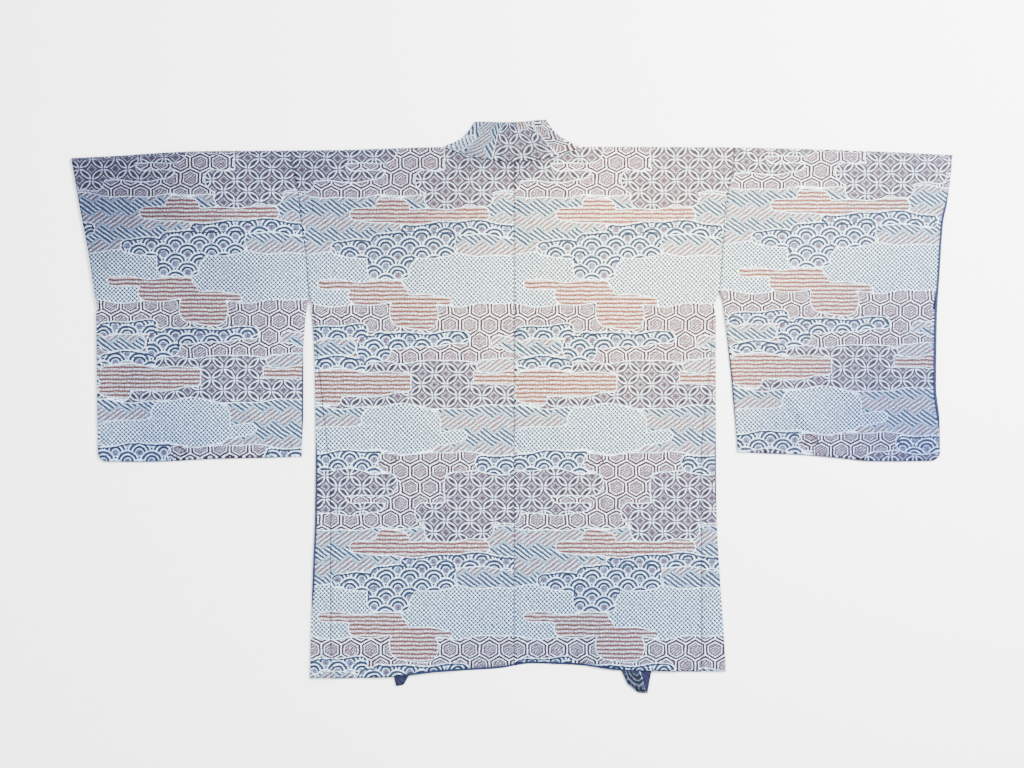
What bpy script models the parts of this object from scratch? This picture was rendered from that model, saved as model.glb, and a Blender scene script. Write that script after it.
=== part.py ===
"""A haori jacket laid out flat on its front, with its back up and its sleeves spread.

Every piece that is cut and sewn is one closed solid: two body panels that run from the back hem over
the shoulder to the front hem, two sleeves, two side gussets, the long collar band, the two halves of
the back lining and the lining rolled out round one cuff.

Units are metres. Places on the garment are given as ACROSS, the distance from the centre-back seam
(left is negative), and DOWN, the distance below the shoulder line. The floor is at height 0, and the
origin is on the floor at the middle of the whole jacket.
"""

import math
from collections import namedtuple

import bmesh
import bpy
from mathutils import Vector

# ---------------------------------------------------------------- driving dimensions

WING_LEFT = 0.663  # centre-back seam to the left cuff, at the shoulder
WING_RIGHT = 0.657  # centre-back seam to the right cuff
COLLAR_RISE = 0.042  # top of the collar above the shoulder line
COLLAR_FALL = 0.8175  # lowest collar tip below the shoulder line

CLOTH = 0.0016  # a panel's wall: outer cloth with its backing
LINING = 0.0010  # the plain lining's wall
BAND = 0.0030  # the collar: the cloth folded over its core
SEAM_GAP = 0.0003  # clearance between sewn neighbours
LAYER_GAP = 0.0003  # clearance between cloths that lie on each other

BACK_LEVEL = 0.0040  # middle of the back's wall where it lies on the front
OPEN_LEVEL = 0.0026  # the same over the open front, between the collar bands
BAND_LEVEL = 0.0056  # the same over a collar band
NECK_LEVEL = 0.0054  # the same beside the neck seam
COLLAR_LEVEL = 0.0051  # middle of the collar's wall behind the neck
RAMP = 0.035  # width over which the back climbs onto a collar band
SHELF = 0.018  # how far it stays level past each edge of the band
NECK_RAMP = 0.060  # length over which it comes down from the neck seam

NECK_DROP = 0.021  # set-back of the neck at the centre
NECK_CLEAR = 0.004  # shoulder fold's end, beside the collar's own fold
NECK_CLEAR_END = 0.040  # below the shoulder, where the front meets the band again
BAND_WIDTH = 0.061  # collar, folded
ARMHOLE_LEFT = 0.222
ARMHOLE_RIGHT = 0.2145
GUSSET_START = 0.240  # below the shoulder, where the gusset's point is
FRONT_HEM_RISE = 0.003  # the front hem lies this much above the back hem
CUFF_ROUND = 0.012  # radius of the sleeve's outer bottom corner
CUFF_STRIP = 0.0036  # lining showing past the right cuff
CUFF_STRIP_START = 0.050  # below the shoulder, where the strip begins to show
CUFF_STRIP_FULL = 0.090  # and where it has its whole width
CUFF_STRIP_FADE = 0.385  # where it begins to go in again
CUFF_STRIP_END = 0.440
LINING_INSET = 0.004  # the lining stops this far from the shoulder fold and the neck

FRONT_LEVEL = CLOTH / 2  # middle of the front's wall, flat on the floor

# Cloth that turns back on itself at a fold stands out past the fold line by this much.
FOLD_OUT = (BACK_LEVEL - FRONT_LEVEL) / 2 + CLOTH / math.sqrt(2)

CENTRE_X = (WING_LEFT - WING_RIGHT) / 2
SHOULDER_Y = (COLLAR_FALL - COLLAR_RISE) / 2
WELD = 0.00002  # corners of one cloth nearer than this are the same corner
DIAGONAL = math.sqrt(0.5)  # each part of a direction that runs at 45 degrees

# ---------------------------------------------------------------- the cut

Edge = namedtuple("Edge", "down across")
Level = namedtuple("Level", "across down")
Fold = namedtuple("Fold", "across down run_across run_down half_length half_width height")
Tip = namedtuple("Tip", "across down")
Side = namedtuple("Side", "name sign armhole panel_edge outline furi cuff sleeve_hem neck_end seam_foot")

# Shoulder line and lowest edge of the back with its lining, from the left edge to the right one.
SHOULDER = (
    Level(-0.6630, 0.0150),
    Level(-0.6165, 0.0130),
    Level(-0.4740, 0.0050),
    Level(-0.2760, 0.0033),
    Level(-0.1035, -0.0012),
    Level(0.1020, -0.0018),
    Level(0.3045, -0.0010),
    Level(0.3825, 0.0002),
    Level(0.5370, 0.0050),
    Level(0.6570, 0.0105),
)
HEM = (
    Level(-0.3060, 0.7965),
    Level(-0.1815, 0.7935),
    Level(-0.1170, 0.7862),
    Level(-0.0255, 0.7809),
    Level(0.0270, 0.7732),
    Level(0.0975, 0.7757),
    Level(0.1590, 0.7834),
    Level(0.3180, 0.7860),
)
# How far the lining shows past the back's cloth.
LINING_SHOW = (
    Level(-0.3060, 0.0012),
    Level(-0.2000, 0.0014),
    Level(-0.1400, 0.0040),
    Level(0.0050, 0.0034),
    Level(0.1400, 0.0036),
    Level(0.1900, 0.0014),
    Level(0.3180, 0.0012),
)

LEFT = Side(
    name="left",
    sign=-1,
    armhole=ARMHOLE_LEFT,
    # The body panel's side edge: armhole seam, then gusset seam.
    panel_edge=(
        Edge(0.0050, -0.3345),
        Edge(0.0255, -0.3330),
        Edge(0.0630, -0.3240),
        Edge(0.1080, -0.3195),
        Edge(0.1605, -0.3120),
        Edge(0.2220, -0.3069),
        Edge(0.2400, -0.3011),
        Edge(0.3150, -0.2945),
        Edge(0.3825, -0.2870),
        Edge(0.5280, -0.2755),
        Edge(0.7960, -0.2745),
    ),
    # The body's outer edge below the arm, which is the gusset's fold.
    outline=(
        Edge(0.2280, -0.3066),
        Edge(0.2535, -0.3030),
        Edge(0.3315, -0.2988),
        Edge(0.4530, -0.2975),
        Edge(0.5490, -0.2985),
        Edge(0.6525, -0.3024),
        Edge(0.7965, -0.3060),
    ),
    # The sleeve's open inner edge below the armhole.
    furi=(
        Edge(0.2220, -0.3072),
        Edge(0.2292, -0.3080),
        Edge(0.2535, -0.3120),
        Edge(0.3570, -0.3180),
        Edge(0.4640, -0.3180),
    ),
    cuff=(
        Edge(0.0150, -0.6630),
        Edge(0.0855, -0.6510),
        Edge(0.1755, -0.6345),
        Edge(0.2460, -0.6262),
        Edge(0.3390, -0.6255),
        Edge(0.4710, -0.6236),
    ),
    sleeve_hem=(
        Level(-0.6236, 0.4710),
        Level(-0.5265, 0.4695),
        Level(-0.4485, 0.4656),
        Level(-0.3180, 0.4632),
    ),
    neck_end=-0.1035,
    seam_foot=-0.1839,
)
RIGHT = Side(
    name="right",
    sign=1,
    armhole=ARMHOLE_RIGHT,
    panel_edge=(
        Edge(0.0010, 0.3285),
        Edge(0.0360, 0.3270),
        Edge(0.0630, 0.3210),
        Edge(0.0930, 0.3165),
        Edge(0.1470, 0.3127),
        Edge(0.2145, 0.3075),
        Edge(0.2400, 0.2984),
        Edge(0.3060, 0.2955),
        Edge(0.3570, 0.2905),
        Edge(0.4530, 0.2810),
        Edge(0.7860, 0.2805),
    ),
    outline=(
        Edge(0.2145, 0.3075),
        Edge(0.2400, 0.3026),
        Edge(0.3315, 0.3027),
        Edge(0.4980, 0.3030),
        Edge(0.5595, 0.3042),
        Edge(0.6225, 0.3075),
        Edge(0.7440, 0.3156),
        Edge(0.7860, 0.3180),
    ),
    furi=(
        Edge(0.2145, 0.3078),
        Edge(0.2295, 0.3126),
        Edge(0.2580, 0.3165),
        Edge(0.3440, 0.3270),
        Edge(0.4560, 0.3352),
    ),
    cuff=(
        Edge(0.0105, 0.6570),
        Edge(0.0825, 0.6495),
        Edge(0.1125, 0.6435),
        Edge(0.1905, 0.6381),
        Edge(0.2535, 0.6342),
        Edge(0.3570, 0.6330),
        Edge(0.4087, 0.6381),
        Edge(0.4700, 0.6390),
    ),
    sleeve_hem=(
        Level(0.3352, 0.4565),
        Level(0.4230, 0.4590),
        Level(0.4860, 0.4644),
        Level(0.5370, 0.4692),
        Level(0.6390, 0.4695),
    ),
    neck_end=0.0990,
    seam_foot=0.2108,
)
SIDES = (LEFT, RIGHT)

# The largest soft folds of the back and the sleeves: middle, run, size and height.
FOLDS = (
    Fold(0.444, 0.405, 0.59, 0.81, 0.055, 0.022, 0.0018),
    Fold(-0.392, 0.400, 0.78, 0.62, 0.050, 0.022, 0.0016),
    Fold(-0.141, 0.415, 0.75, 0.66, 0.065, 0.026, 0.0015),
    Fold(0.069, 0.700, 0.08, 1.00, 0.090, 0.036, 0.0018),
    Fold(-0.126, 0.730, -0.12, 0.99, 0.070, 0.030, 0.0014),
    Fold(-0.585, 0.280, 0.10, 0.99, 0.120, 0.034, 0.0018),
    Fold(0.579, 0.215, -0.16, 0.98, 0.110, 0.032, 0.0016),
    Fold(0.230, 0.215, -0.50, 0.87, 0.070, 0.026, 0.0016),
    Fold(-0.231, 0.255, 0.55, 0.83, 0.070, 0.026, 0.0015),
    Fold(0.227, 0.690, 0.05, 1.00, 0.080, 0.030, 0.0014),
)

# The collar's ends are folded in at a slant: points across the band, from its seam edge to its free
# edge, along the end itself and along the last section that is still straight above it.
TIPS = {
    "left": (
        (Tip(-0.1765, 0.8070), Tip(-0.1812, 0.7900)),
        (Tip(-0.1650, 0.8050), Tip(-0.1680, 0.7850)),
        (Tip(-0.1545, 0.7860), Tip(-0.1535, 0.7750)),
        (Tip(-0.1390, 0.7770), Tip(-0.1380, 0.7640)),
        (Tip(-0.1215, 0.7700), Tip(-0.1205, 0.7550)),
    ),
    "right": (
        (Tip(0.2001, 0.8175), Tip(0.2062, 0.7842)),
        (Tip(0.1857, 0.8170), Tip(0.1915, 0.7820)),
        (Tip(0.1690, 0.8030), Tip(0.1760, 0.7740)),
        (Tip(0.1600, 0.7830), Tip(0.1610, 0.7640)),
        (Tip(0.1470, 0.7720), Tip(0.1460, 0.7540)),
    ),
}
# The diagonal folds beside the neck: the free edge's end of each, and how far the line bows inward.
FOLD_TOP = {"left": Tip(-0.0550, -0.0362), "right": Tip(0.0441, -0.0389)}
FOLD_BOW = {"left": 0.0070, "right": 0.0075}
# The collar's top edge behind the neck, from fold to fold.
COLLAR_TOP = (
    Level(-0.0550, -0.0388),
    Level(-0.0060, -0.0378),
    Level(0.0441, -0.0418),
)

# ---------------------------------------------------------------- how finely each cloth is divided

NECK_COLUMNS = 4  # centre seam to neck end
SHOULDER_COLUMNS = 8  # neck end to side edge
PANEL_COLUMNS = NECK_COLUMNS + SHOULDER_COLUMNS
ARMHOLE_ROWS = 7
SKIRT_ROWS = 12  # gusset's point to hem
PANEL_ROWS = ARMHOLE_ROWS + 1 + SKIRT_ROWS
SLEEVE_COLUMNS = 12
SLEEVE_ROWS = 14
HALFWAY = 0.5  # round the corner, where the cuff's and the bottom's last points meet
MOUTH_ROW = 7  # the cuff is open above this row
STRIP_FIRST_ROW = 2  # the rolled lining begins at this row
STRIP_LAST_ROW = 10
ROLL_RESOLUTION = 2  # eight sides round it
GUSSET_COLUMNS = 2
BAND_COLUMNS = 4
BAND_ROWS = 13  # collar sections down each front
BAND_CROWDING = 1.6  # how much closer they are near the neck
TURN_LENGTH = 0.110  # below the shoulder, where the band begins to turn inward


# ---------------------------------------------------------------- curves


def slope(table, row):
    """How steeply the curve through a table's rows runs at one row, with no overshoot."""
    last = len(table) - 1
    before = table[max(row - 1, 0)]
    here = table[row]
    after = table[min(row + 1, last)]
    if row == 0:
        return (after[1] - here[1]) / (after[0] - here[0])
    rise_in = (here[1] - before[1]) / (here[0] - before[0])
    if row == last:
        return rise_in
    rise_out = (after[1] - here[1]) / (after[0] - here[0])
    if rise_in * rise_out <= 0:
        return 0.0
    return 2 * rise_in * rise_out / (rise_in + rise_out)


def follow(table, place):
    """The second column of a table at a place in its first, on a smooth curve through the rows."""
    row = 0
    while row < len(table) - 2 and table[row + 1][0] < place:
        row += 1
    start, end = table[row], table[row + 1]
    span = end[0] - start[0]
    t = (place - start[0]) / span
    if t < 0:
        return start[1] + slope(table, row) * (place - start[0])
    if t > 1:
        return end[1] + slope(table, row + 1) * (place - end[0])
    rise = end[1] - start[1]
    lean_in = slope(table, row) * span
    lean_out = slope(table, row + 1) * span
    square = 3 * rise - 2 * lean_in - lean_out
    cube = lean_in + lean_out - 2 * rise
    return start[1] + t * (lean_in + t * (square + t * cube))


def ease(t):
    """0 before 0, 1 after 1, and a soft step between."""
    t = min(max(t, 0.0), 1.0)
    return t * t * (3 - 2 * t)


def mix(a, b, t):
    return a + (b - a) * t


def spot(across, down, height):
    """The point in space for a place on the garment."""
    return Vector((CENTRE_X + across, SHOULDER_Y - down, height))


# ---------------------------------------------------------------- how high the back lies


def collar_seam(side, down):
    """The seam between a front and the collar band."""
    return mix(side.neck_end, side.seam_foot, down / COLLAR_FALL)


def band_climb(side, across, down):
    """1 over one collar band, 0 over the open front, and the plain level's share outside it."""
    outer = abs(collar_seam(side, down)) + SHELF
    inner = abs(collar_seam(side, down)) - BAND_WIDTH - SHELF
    reach = across * side.sign
    plain = (BACK_LEVEL - OPEN_LEVEL) / (BAND_LEVEL - OPEN_LEVEL)
    if reach > outer:
        return mix(1.0, plain, ease((reach - outer) / RAMP))
    return ease((reach - inner + RAMP) / RAMP)


def neck_line(across):
    """The neck seam behind the neck: a shallow dip between the two shoulder ends."""
    end = LEFT.neck_end if across < 0 else RIGHT.neck_end
    share = min(abs(across / end), 1.0)
    return NECK_DROP * (1 - share * share)


def fold_relief(across, down):
    """The soft folds' height at a place."""
    height = 0.0
    for fold in FOLDS:
        out_across = across - fold.across
        out_down = down - fold.down
        along = (out_across * fold.run_across + out_down * fold.run_down) / fold.half_length
        aside = (out_across * fold.run_down - out_down * fold.run_across) / fold.half_width
        height += fold.height * math.exp(-along * along - aside * aside)
    return height


def back_height(across, down):
    """Middle of the back's wall above the floor: it drapes over the collar bands that lie below it."""
    climb = band_climb(LEFT, across, down) + band_climb(RIGHT, across, down)
    height = OPEN_LEVEL + (BAND_LEVEL - OPEN_LEVEL) * climb
    past_neck = down - neck_line(across)
    beside = abs(across) - abs(LEFT.neck_end)
    near_neck = (1 - ease(past_neck / NECK_RAMP)) * (1 - ease(beside / RAMP))
    return mix(height, NECK_LEVEL, near_neck) + fold_relief(across, down)


def fold_line(across):
    """Where the cloth turns over at the shoulder, just inside the outline."""
    return follow(SHOULDER, across) + FOLD_OUT


# ---------------------------------------------------------------- body panels


def row_share(side, row):
    """How far down a panel's side edge one row is, so that rows fall on the armhole's end and the gusset."""
    top = fold_line(side.panel_edge[0].across)
    length = follow(HEM, side.panel_edge[-1].across) - top
    armhole = (side.armhole - top) / length
    point = (GUSSET_START - top) / length
    if row <= ARMHOLE_ROWS:
        return armhole * row / ARMHOLE_ROWS
    return mix(point, 1.0, (row - ARMHOLE_ROWS - 1) / SKIRT_ROWS)


def neck_share(side):
    """How far across the panel the shoulder fold begins."""
    return (side.neck_end + side.sign * NECK_CLEAR) / side.panel_edge[0].across


def column_share(side, column):
    """How far from the centre seam to the side edge one column is."""
    if column <= NECK_COLUMNS:
        return neck_share(side) * column / NECK_COLUMNS
    return mix(neck_share(side), 1.0, (column - NECK_COLUMNS) / SHOULDER_COLUMNS)


def back_place(side, column, row):
    """Across and down for one corner of the back."""
    share = column_share(side, column)
    top_across = share * side.panel_edge[0].across
    top = fold_line(top_across)
    if column < NECK_COLUMNS:
        top = neck_line(top_across) + SEAM_GAP
    foot_across = share * side.panel_edge[-1].across
    foot = follow(HEM, foot_across) - follow(LINING_SHOW, foot_across)
    down = mix(top, foot, row_share(side, row))
    centre = side.sign * SEAM_GAP / 2
    return mix(centre, follow(side.panel_edge, down), share), down


def front_place(side, column, row):
    """Across and down for one corner of the front, which hangs from the same shoulder fold."""
    share = (column_share(side, column) - neck_share(side)) / (1 - neck_share(side))
    top = fold_line(column_share(side, column) * side.panel_edge[0].across)
    foot = follow(HEM, mix(side.seam_foot, side.panel_edge[-1].across, share)) - FRONT_HEM_RISE
    down = mix(top, foot, row_share(side, row))
    clear = mix(NECK_CLEAR, SEAM_GAP, ease((down - top) / NECK_CLEAR_END))
    inner = collar_seam(side, down) + side.sign * clear
    return mix(inner, follow(side.panel_edge, down), share), down


def back_corner(side, column, row):
    across, down = back_place(side, column, row)
    return spot(across, down, back_height(across, down))


def rim_point(across, down, away_across, away_down):
    """The outermost line of a fold: halfway up, and out by as much as it rises."""
    rise = (back_height(across, down) - FRONT_LEVEL) / 2
    return spot(across + away_across * rise, down + away_down * rise, FRONT_LEVEL + rise)


def body_panel(side):
    """One length of cloth: back, shoulder fold and front."""
    mesh = bmesh.new()

    def place_back(column, row):
        if row == 0:
            return rim_point(*back_place(side, column, 0), 0, -1)
        return back_corner(side, column, row - 1)

    def place_front(column, row):
        if row == 0:
            return rim_point(*back_place(side, column + NECK_COLUMNS, 0), 0, -1)
        return spot(*front_place(side, column + NECK_COLUMNS, row - 1), FRONT_LEVEL)

    def under_neck(column, row):
        return row > 0 or column >= NECK_COLUMNS

    add_cloth(mesh, PANEL_COLUMNS, PANEL_ROWS + 1, place_back, under_neck)
    add_cloth(mesh, SHOULDER_COLUMNS, PANEL_ROWS + 1, place_front)
    return finish_cloth(mesh, f"body_{side.name}", CLOTH, SILK)


def back_lining(side):
    """The lining under one back: the back's own corners moved down, and out past the hem."""
    mesh = bmesh.new()
    under = (CLOTH + LINING) / 2 + LAYER_GAP

    def place(column, row):
        corner = back_corner(side, column, row)
        if row == 0:
            below = back_corner(side, column, 1)
            corner = corner.lerp(below, LINING_INSET / (below - corner).length)
        if row == PANEL_ROWS:
            above = back_corner(side, column, row - 1)
            show = follow(LINING_SHOW, corner.x - CENTRE_X)
            corner = above.lerp(corner, 1 + show / (corner - above).length)
        return corner - Vector((0, 0, under))

    def place_inset(column, row):
        corner = place(column, row)
        if column < PANEL_COLUMNS:
            return corner
        beside = place(column - 1, row)
        return corner.lerp(beside, LINING_INSET / 2 / (beside - corner).length)

    add_cloth(mesh, PANEL_COLUMNS, PANEL_ROWS, place_inset)
    return finish_cloth(mesh, f"lining_{side.name}", LINING, NAVY)


# ---------------------------------------------------------------- gussets


def gusset_place(side, column, row):
    """Across and down for one corner of a gusset, from the panel's seam to its own fold."""
    down = back_place(side, PANEL_COLUMNS, ARMHOLE_ROWS + 1 + row)[1]
    inner = follow(side.panel_edge, down) + side.sign * SEAM_GAP
    outer = follow(side.outline, down) - side.sign * FOLD_OUT
    return mix(inner, outer, column / GUSSET_COLUMNS), down


def gusset(side):
    """A narrow wedge, folded down its middle, between back and front."""
    mesh = bmesh.new()

    def place(column, row, upper):
        if column > GUSSET_COLUMNS:
            return rim_point(*gusset_place(side, GUSSET_COLUMNS, row), side.sign, 0)
        across, down = gusset_place(side, column, row)
        return spot(across, down, back_height(across, down) if upper else FRONT_LEVEL)

    for upper in (True, False):
        add_cloth(mesh, GUSSET_COLUMNS + 1, SKIRT_ROWS, lambda column, row: place(column, row, upper))
    return finish_cloth(mesh, f"gusset_{side.name}", CLOTH, SILK)


# ---------------------------------------------------------------- sleeves


def cuff_inset(side, down, share):
    """From the outline in to the cuff's cloth: the shown lining, and the fold where the cuff is sewn."""
    sewn = FOLD_OUT * ease(1 + share * SLEEVE_ROWS - MOUTH_ROW)
    if side is LEFT:
        return sewn
    begun = ease((down - CUFF_STRIP_START) / (CUFF_STRIP_FULL - CUFF_STRIP_START))
    ended = ease((down - CUFF_STRIP_FADE) / (CUFF_STRIP_END - CUFF_STRIP_FADE))
    return sewn + CUFF_STRIP * (begun - ended)


def sleeve_corners(side):
    """Where the sleeve's inner and outer edges begin and end, as (across, down)."""
    inner_top = side.panel_edge[0].across + side.sign * SEAM_GAP
    inner_foot = side.furi[-1].across
    outer_foot = side.cuff[-1].across - side.sign * cuff_inset(side, side.cuff[-1].down, 1)
    outer_top = side.cuff[0].across
    return inner_top, inner_foot, outer_top, outer_foot


def sleeve_inner(side, share):
    """The inner edge: armhole seam, then the open part below it."""
    inner_top, inner_foot, _, _ = sleeve_corners(side)
    top = fold_line(inner_top)
    foot = sleeve_bottom_level(side, inner_foot)
    armhole_share = ARMHOLE_ROWS / SLEEVE_ROWS
    if share <= armhole_share:
        down = mix(top, side.armhole, share / armhole_share)
        return follow(side.panel_edge, down) + side.sign * SEAM_GAP, down
    down = mix(side.armhole, foot, (share - armhole_share) / (1 - armhole_share))
    return follow(side.furi, down), down


def sleeve_bottom_level(side, across):
    return follow(side.sleeve_hem, across) - FOLD_OUT


def corner_centre(side):
    """Centre of the round at the sleeve's outer bottom corner."""
    outer_foot = sleeve_corners(side)[3]
    return outer_foot - side.sign * CUFF_ROUND, sleeve_bottom_level(side, outer_foot) - CUFF_ROUND


def round_point(side, turn=HALFWAY):
    """A point on the round; turn is 0 at the cuff and 1 at the bottom edge."""
    centre_across, centre_down = corner_centre(side)
    angle = math.pi / 2 * turn
    across = centre_across + side.sign * CUFF_ROUND * math.cos(angle)
    return across, centre_down + CUFF_ROUND * math.sin(angle)


def sleeve_outer(side, row):
    """The cuff edge, which ends halfway round the corner."""
    if row == SLEEVE_ROWS:
        return round_point(side)
    top = fold_line(side.cuff[0].across)
    share = row / (SLEEVE_ROWS - 1)
    down = mix(top, corner_centre(side)[1], share)
    return follow(side.cuff, down) - side.sign * cuff_inset(side, down, row / SLEEVE_ROWS), down


def sleeve_top(side, column):
    inner_top, _, outer_top, _ = sleeve_corners(side)
    across = mix(inner_top, outer_top, column / SLEEVE_COLUMNS)
    return across, fold_line(across)


def sleeve_bottom(side, column):
    """The bottom edge, which ends halfway round the corner."""
    if column == SLEEVE_COLUMNS:
        return round_point(side)
    inner_foot = sleeve_corners(side)[1]
    across = mix(inner_foot, corner_centre(side)[0], column / (SLEEVE_COLUMNS - 1))
    return across, sleeve_bottom_level(side, across)


def sleeve_place(side, column, row):
    """Across and down inside the sleeve, blended from its four edges."""
    u = column / SLEEVE_COLUMNS
    v = row / SLEEVE_ROWS
    inner, outer = sleeve_inner(side, v), sleeve_outer(side, row)
    top, bottom = sleeve_top(side, column), sleeve_bottom(side, column)
    corners = (
        (sleeve_inner(side, 0), sleeve_outer(side, 0)),
        (sleeve_inner(side, 1), sleeve_outer(side, SLEEVE_ROWS)),
    )
    place = []
    for axis in (0, 1):
        sides = mix(inner[axis], outer[axis], u) + mix(top[axis], bottom[axis], v)
        plain_top = mix(corners[0][0][axis], corners[0][1][axis], u)
        plain_bottom = mix(corners[1][0][axis], corners[1][1][axis], u)
        place.append(sides - mix(plain_top, plain_bottom, v))
    return place


def sleeve(side):
    """One length folded at the top, sewn along the bottom and up the lower cuff, open elsewhere."""
    mesh = bmesh.new()

    def place(column, row, upper):
        row -= 1
        inside = sleeve_place(side, min(column, SLEEVE_COLUMNS), min(max(row, 0), SLEEVE_ROWS))
        past_cuff = column > SLEEVE_COLUMNS
        past_bottom = row > SLEEVE_ROWS
        at_corner = column >= SLEEVE_COLUMNS and row >= SLEEVE_ROWS
        if at_corner and (past_cuff or past_bottom):
            return rim_point(*inside, side.sign * DIAGONAL, DIAGONAL)
        if past_cuff:
            return rim_point(*inside, side.sign, 0)
        if past_bottom:
            return rim_point(*inside, 0, 1)
        if row < 0:
            return rim_point(*inside, 0, -1)
        return spot(*inside, back_height(*inside) if upper else FRONT_LEVEL)

    def sewn(column, row):
        return column < SLEEVE_COLUMNS or MOUTH_ROW < row <= SLEEVE_ROWS

    for upper in (True, False):
        cells = (SLEEVE_COLUMNS + 1, SLEEVE_ROWS + 2)
        add_cloth(mesh, *cells, lambda column, row: place(column, row, upper), sewn)
    return finish_cloth(mesh, f"sleeve_{side.name}", CLOTH, SILK)


def cuff_edge(side):
    """The lining rolled out along the cuff, as a thin soft roll just outside the sleeve."""
    roll = (CUFF_STRIP - 2 * SEAM_GAP) / 2
    curve = bpy.data.curves.new(f"cuff_edge_{side.name}", "CURVE")
    curve.dimensions = "3D"
    curve.bevel_depth = roll
    curve.bevel_resolution = ROLL_RESOLUTION
    curve.use_fill_caps = True
    spline = curve.splines.new("POLY")
    points = []
    for row in range(STRIP_FIRST_ROW, STRIP_LAST_ROW + 1):
        down = sleeve_outer(side, row)[1]
        across = follow(side.cuff, down) - side.sign * roll
        points.append(spot(across, down, (FRONT_LEVEL + BACK_LEVEL) / 2))
    spline.points.add(len(points) - 1)
    for bead, point in zip(spline.points, points):
        bead.co = (*point, 1)
    piece = bpy.data.objects.new(f"cuff_edge_{side.name}", curve)
    curve.materials.append(make_material(piece.name, NAVY))
    garment.objects.link(piece)
    return piece


# ---------------------------------------------------------------- collar

Section = namedtuple("Section", "seam free bow height")
STRAIGHT = Vector((0, 0))  # the bow of a section that isn't a fold


def band_section(side, down):
    """The band at one place down a front: it turns inward towards its fold beside the neck."""
    seam = Vector((collar_seam(side, down), down))
    to_free = Vector(FOLD_TOP[side.name]) - Vector((side.neck_end, 0))
    fold_angle = math.atan2(-to_free.y, -to_free.x * side.sign)
    angle = fold_angle * (1 - ease(down / TURN_LENGTH))
    reach = Vector((-side.sign * math.cos(angle), -math.sin(angle)))
    return seam, seam + reach * BAND_WIDTH


def fold_sections(side):
    """The diagonal fold beside the neck: lower layer, outermost line and upper layer."""
    seam = Vector((side.neck_end, 0))
    free = Vector(FOLD_TOP[side.name])
    run = (free - seam).normalized()
    out = Vector((side.sign * abs(run.y), -abs(run.x)))
    bow = out * -FOLD_BOW[side.name]
    rise = (COLLAR_LEVEL - BAND / 2) / 2
    return (
        Section(seam, free, bow, BAND / 2),
        Section(seam + (out + run) * rise, free + (out - run) * rise, bow, BAND / 2 + rise),
        Section(seam, free, bow, COLLAR_LEVEL),
    )


def neck_sections():
    """The band behind the neck: its seam edge follows the corners of the two backs."""
    seams = [back_place(LEFT, column, 0) for column in range(NECK_COLUMNS - 1, 0, -1)]
    seams.append((0.0, neck_line(0.0) + SEAM_GAP))
    seams += [back_place(RIGHT, column, 0) for column in range(1, NECK_COLUMNS)]
    sections = []
    for across, down in seams:
        share = (across - LEFT.neck_end) / (RIGHT.neck_end - LEFT.neck_end)
        free_across = mix(FOLD_TOP["left"].across, FOLD_TOP["right"].across, share)
        seam = Vector((across, down - SEAM_GAP))
        free = Vector((free_across, follow(COLLAR_TOP, free_across)))
        sections.append(Section(seam, free, STRAIGHT, COLLAR_LEVEL))
    return sections


def front_rows(side):
    """The band's sections down one front, from the lowest up to just under the fold."""
    ends = TIPS[side.name]
    rows = [[spot(*column[row], BAND / 2) for column in ends] for row in (0, 1)]
    lowest = ends[-1][1].down - BAND_WIDTH / 2
    for step in range(BAND_ROWS):
        share = step / BAND_ROWS
        down = lowest * (1 - share) ** BAND_CROWDING
        seam, free = band_section(side, down)
        rows.append(band_row(Section(seam, free, STRAIGHT, BAND / 2)))
    return rows


def band_row(section):
    """The corners across the band at one section, bowed in a parabola where the section is a fold."""
    corners = []
    for column in range(BAND_COLUMNS + 1):
        share = column / BAND_COLUMNS
        bowed = 1 - (2 * share - 1) ** 2
        place = section.seam.lerp(section.free, share) + section.bow * bowed
        corners.append(spot(place.x, place.y, section.height))
    return corners


def collar():
    """One long band: up the left front, round the back of the neck and down the right front."""
    rows = front_rows(LEFT)
    rows += [band_row(section) for section in fold_sections(LEFT)]
    rows += [band_row(section) for section in neck_sections()]
    rows += [band_row(section) for section in reversed(fold_sections(RIGHT))]
    rows += reversed(front_rows(RIGHT))
    mesh = bmesh.new()
    add_cloth(mesh, BAND_COLUMNS, len(rows) - 1, lambda column, row: rows[row][column])
    return finish_cloth(mesh, "collar", BAND, SILK)


# ---------------------------------------------------------------- making the cloth

Finish = namedtuple("Finish", "colour roughness metallic")
SILK = Finish((0.55, 0.60, 0.72, 1), 0.62, 0.0)
NAVY = Finish((0.035, 0.055, 0.17, 1), 0.50, 0.0)


def add_cloth(mesh, columns, rows, place, keep=None):
    """Add a grid of cloth. place gives each corner's point, and keep says which cells are cloth."""
    corners = bmesh.ops.create_grid(mesh, x_segments=columns, y_segments=rows, size=0.5)["verts"]
    cells = {face for corner in corners for face in corner.link_faces}
    if keep:
        cut = []
        for cell in cells:
            middle = cell.calc_center_median()
            column = math.floor((middle.x + 0.5) * columns)
            row = math.floor((middle.y + 0.5) * rows)
            if not keep(column, row):
                cut.append(cell)
    for corner in corners:
        column = round((corner.co.x + 0.5) * columns)
        row = round((corner.co.y + 0.5) * rows)
        corner.co = place(column, row)
    if keep:
        bmesh.ops.delete(mesh, geom=cut, context="FACES")


def make_material(name, finish):
    material = bpy.data.materials.new(name)
    material.use_nodes = True
    shader = material.node_tree.nodes["Principled BSDF"]
    shader.inputs["Base Color"].default_value = finish.colour
    shader.inputs["Roughness"].default_value = finish.roughness
    shader.inputs["Metallic"].default_value = finish.metallic
    material.diffuse_color = finish.colour
    return material


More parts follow.
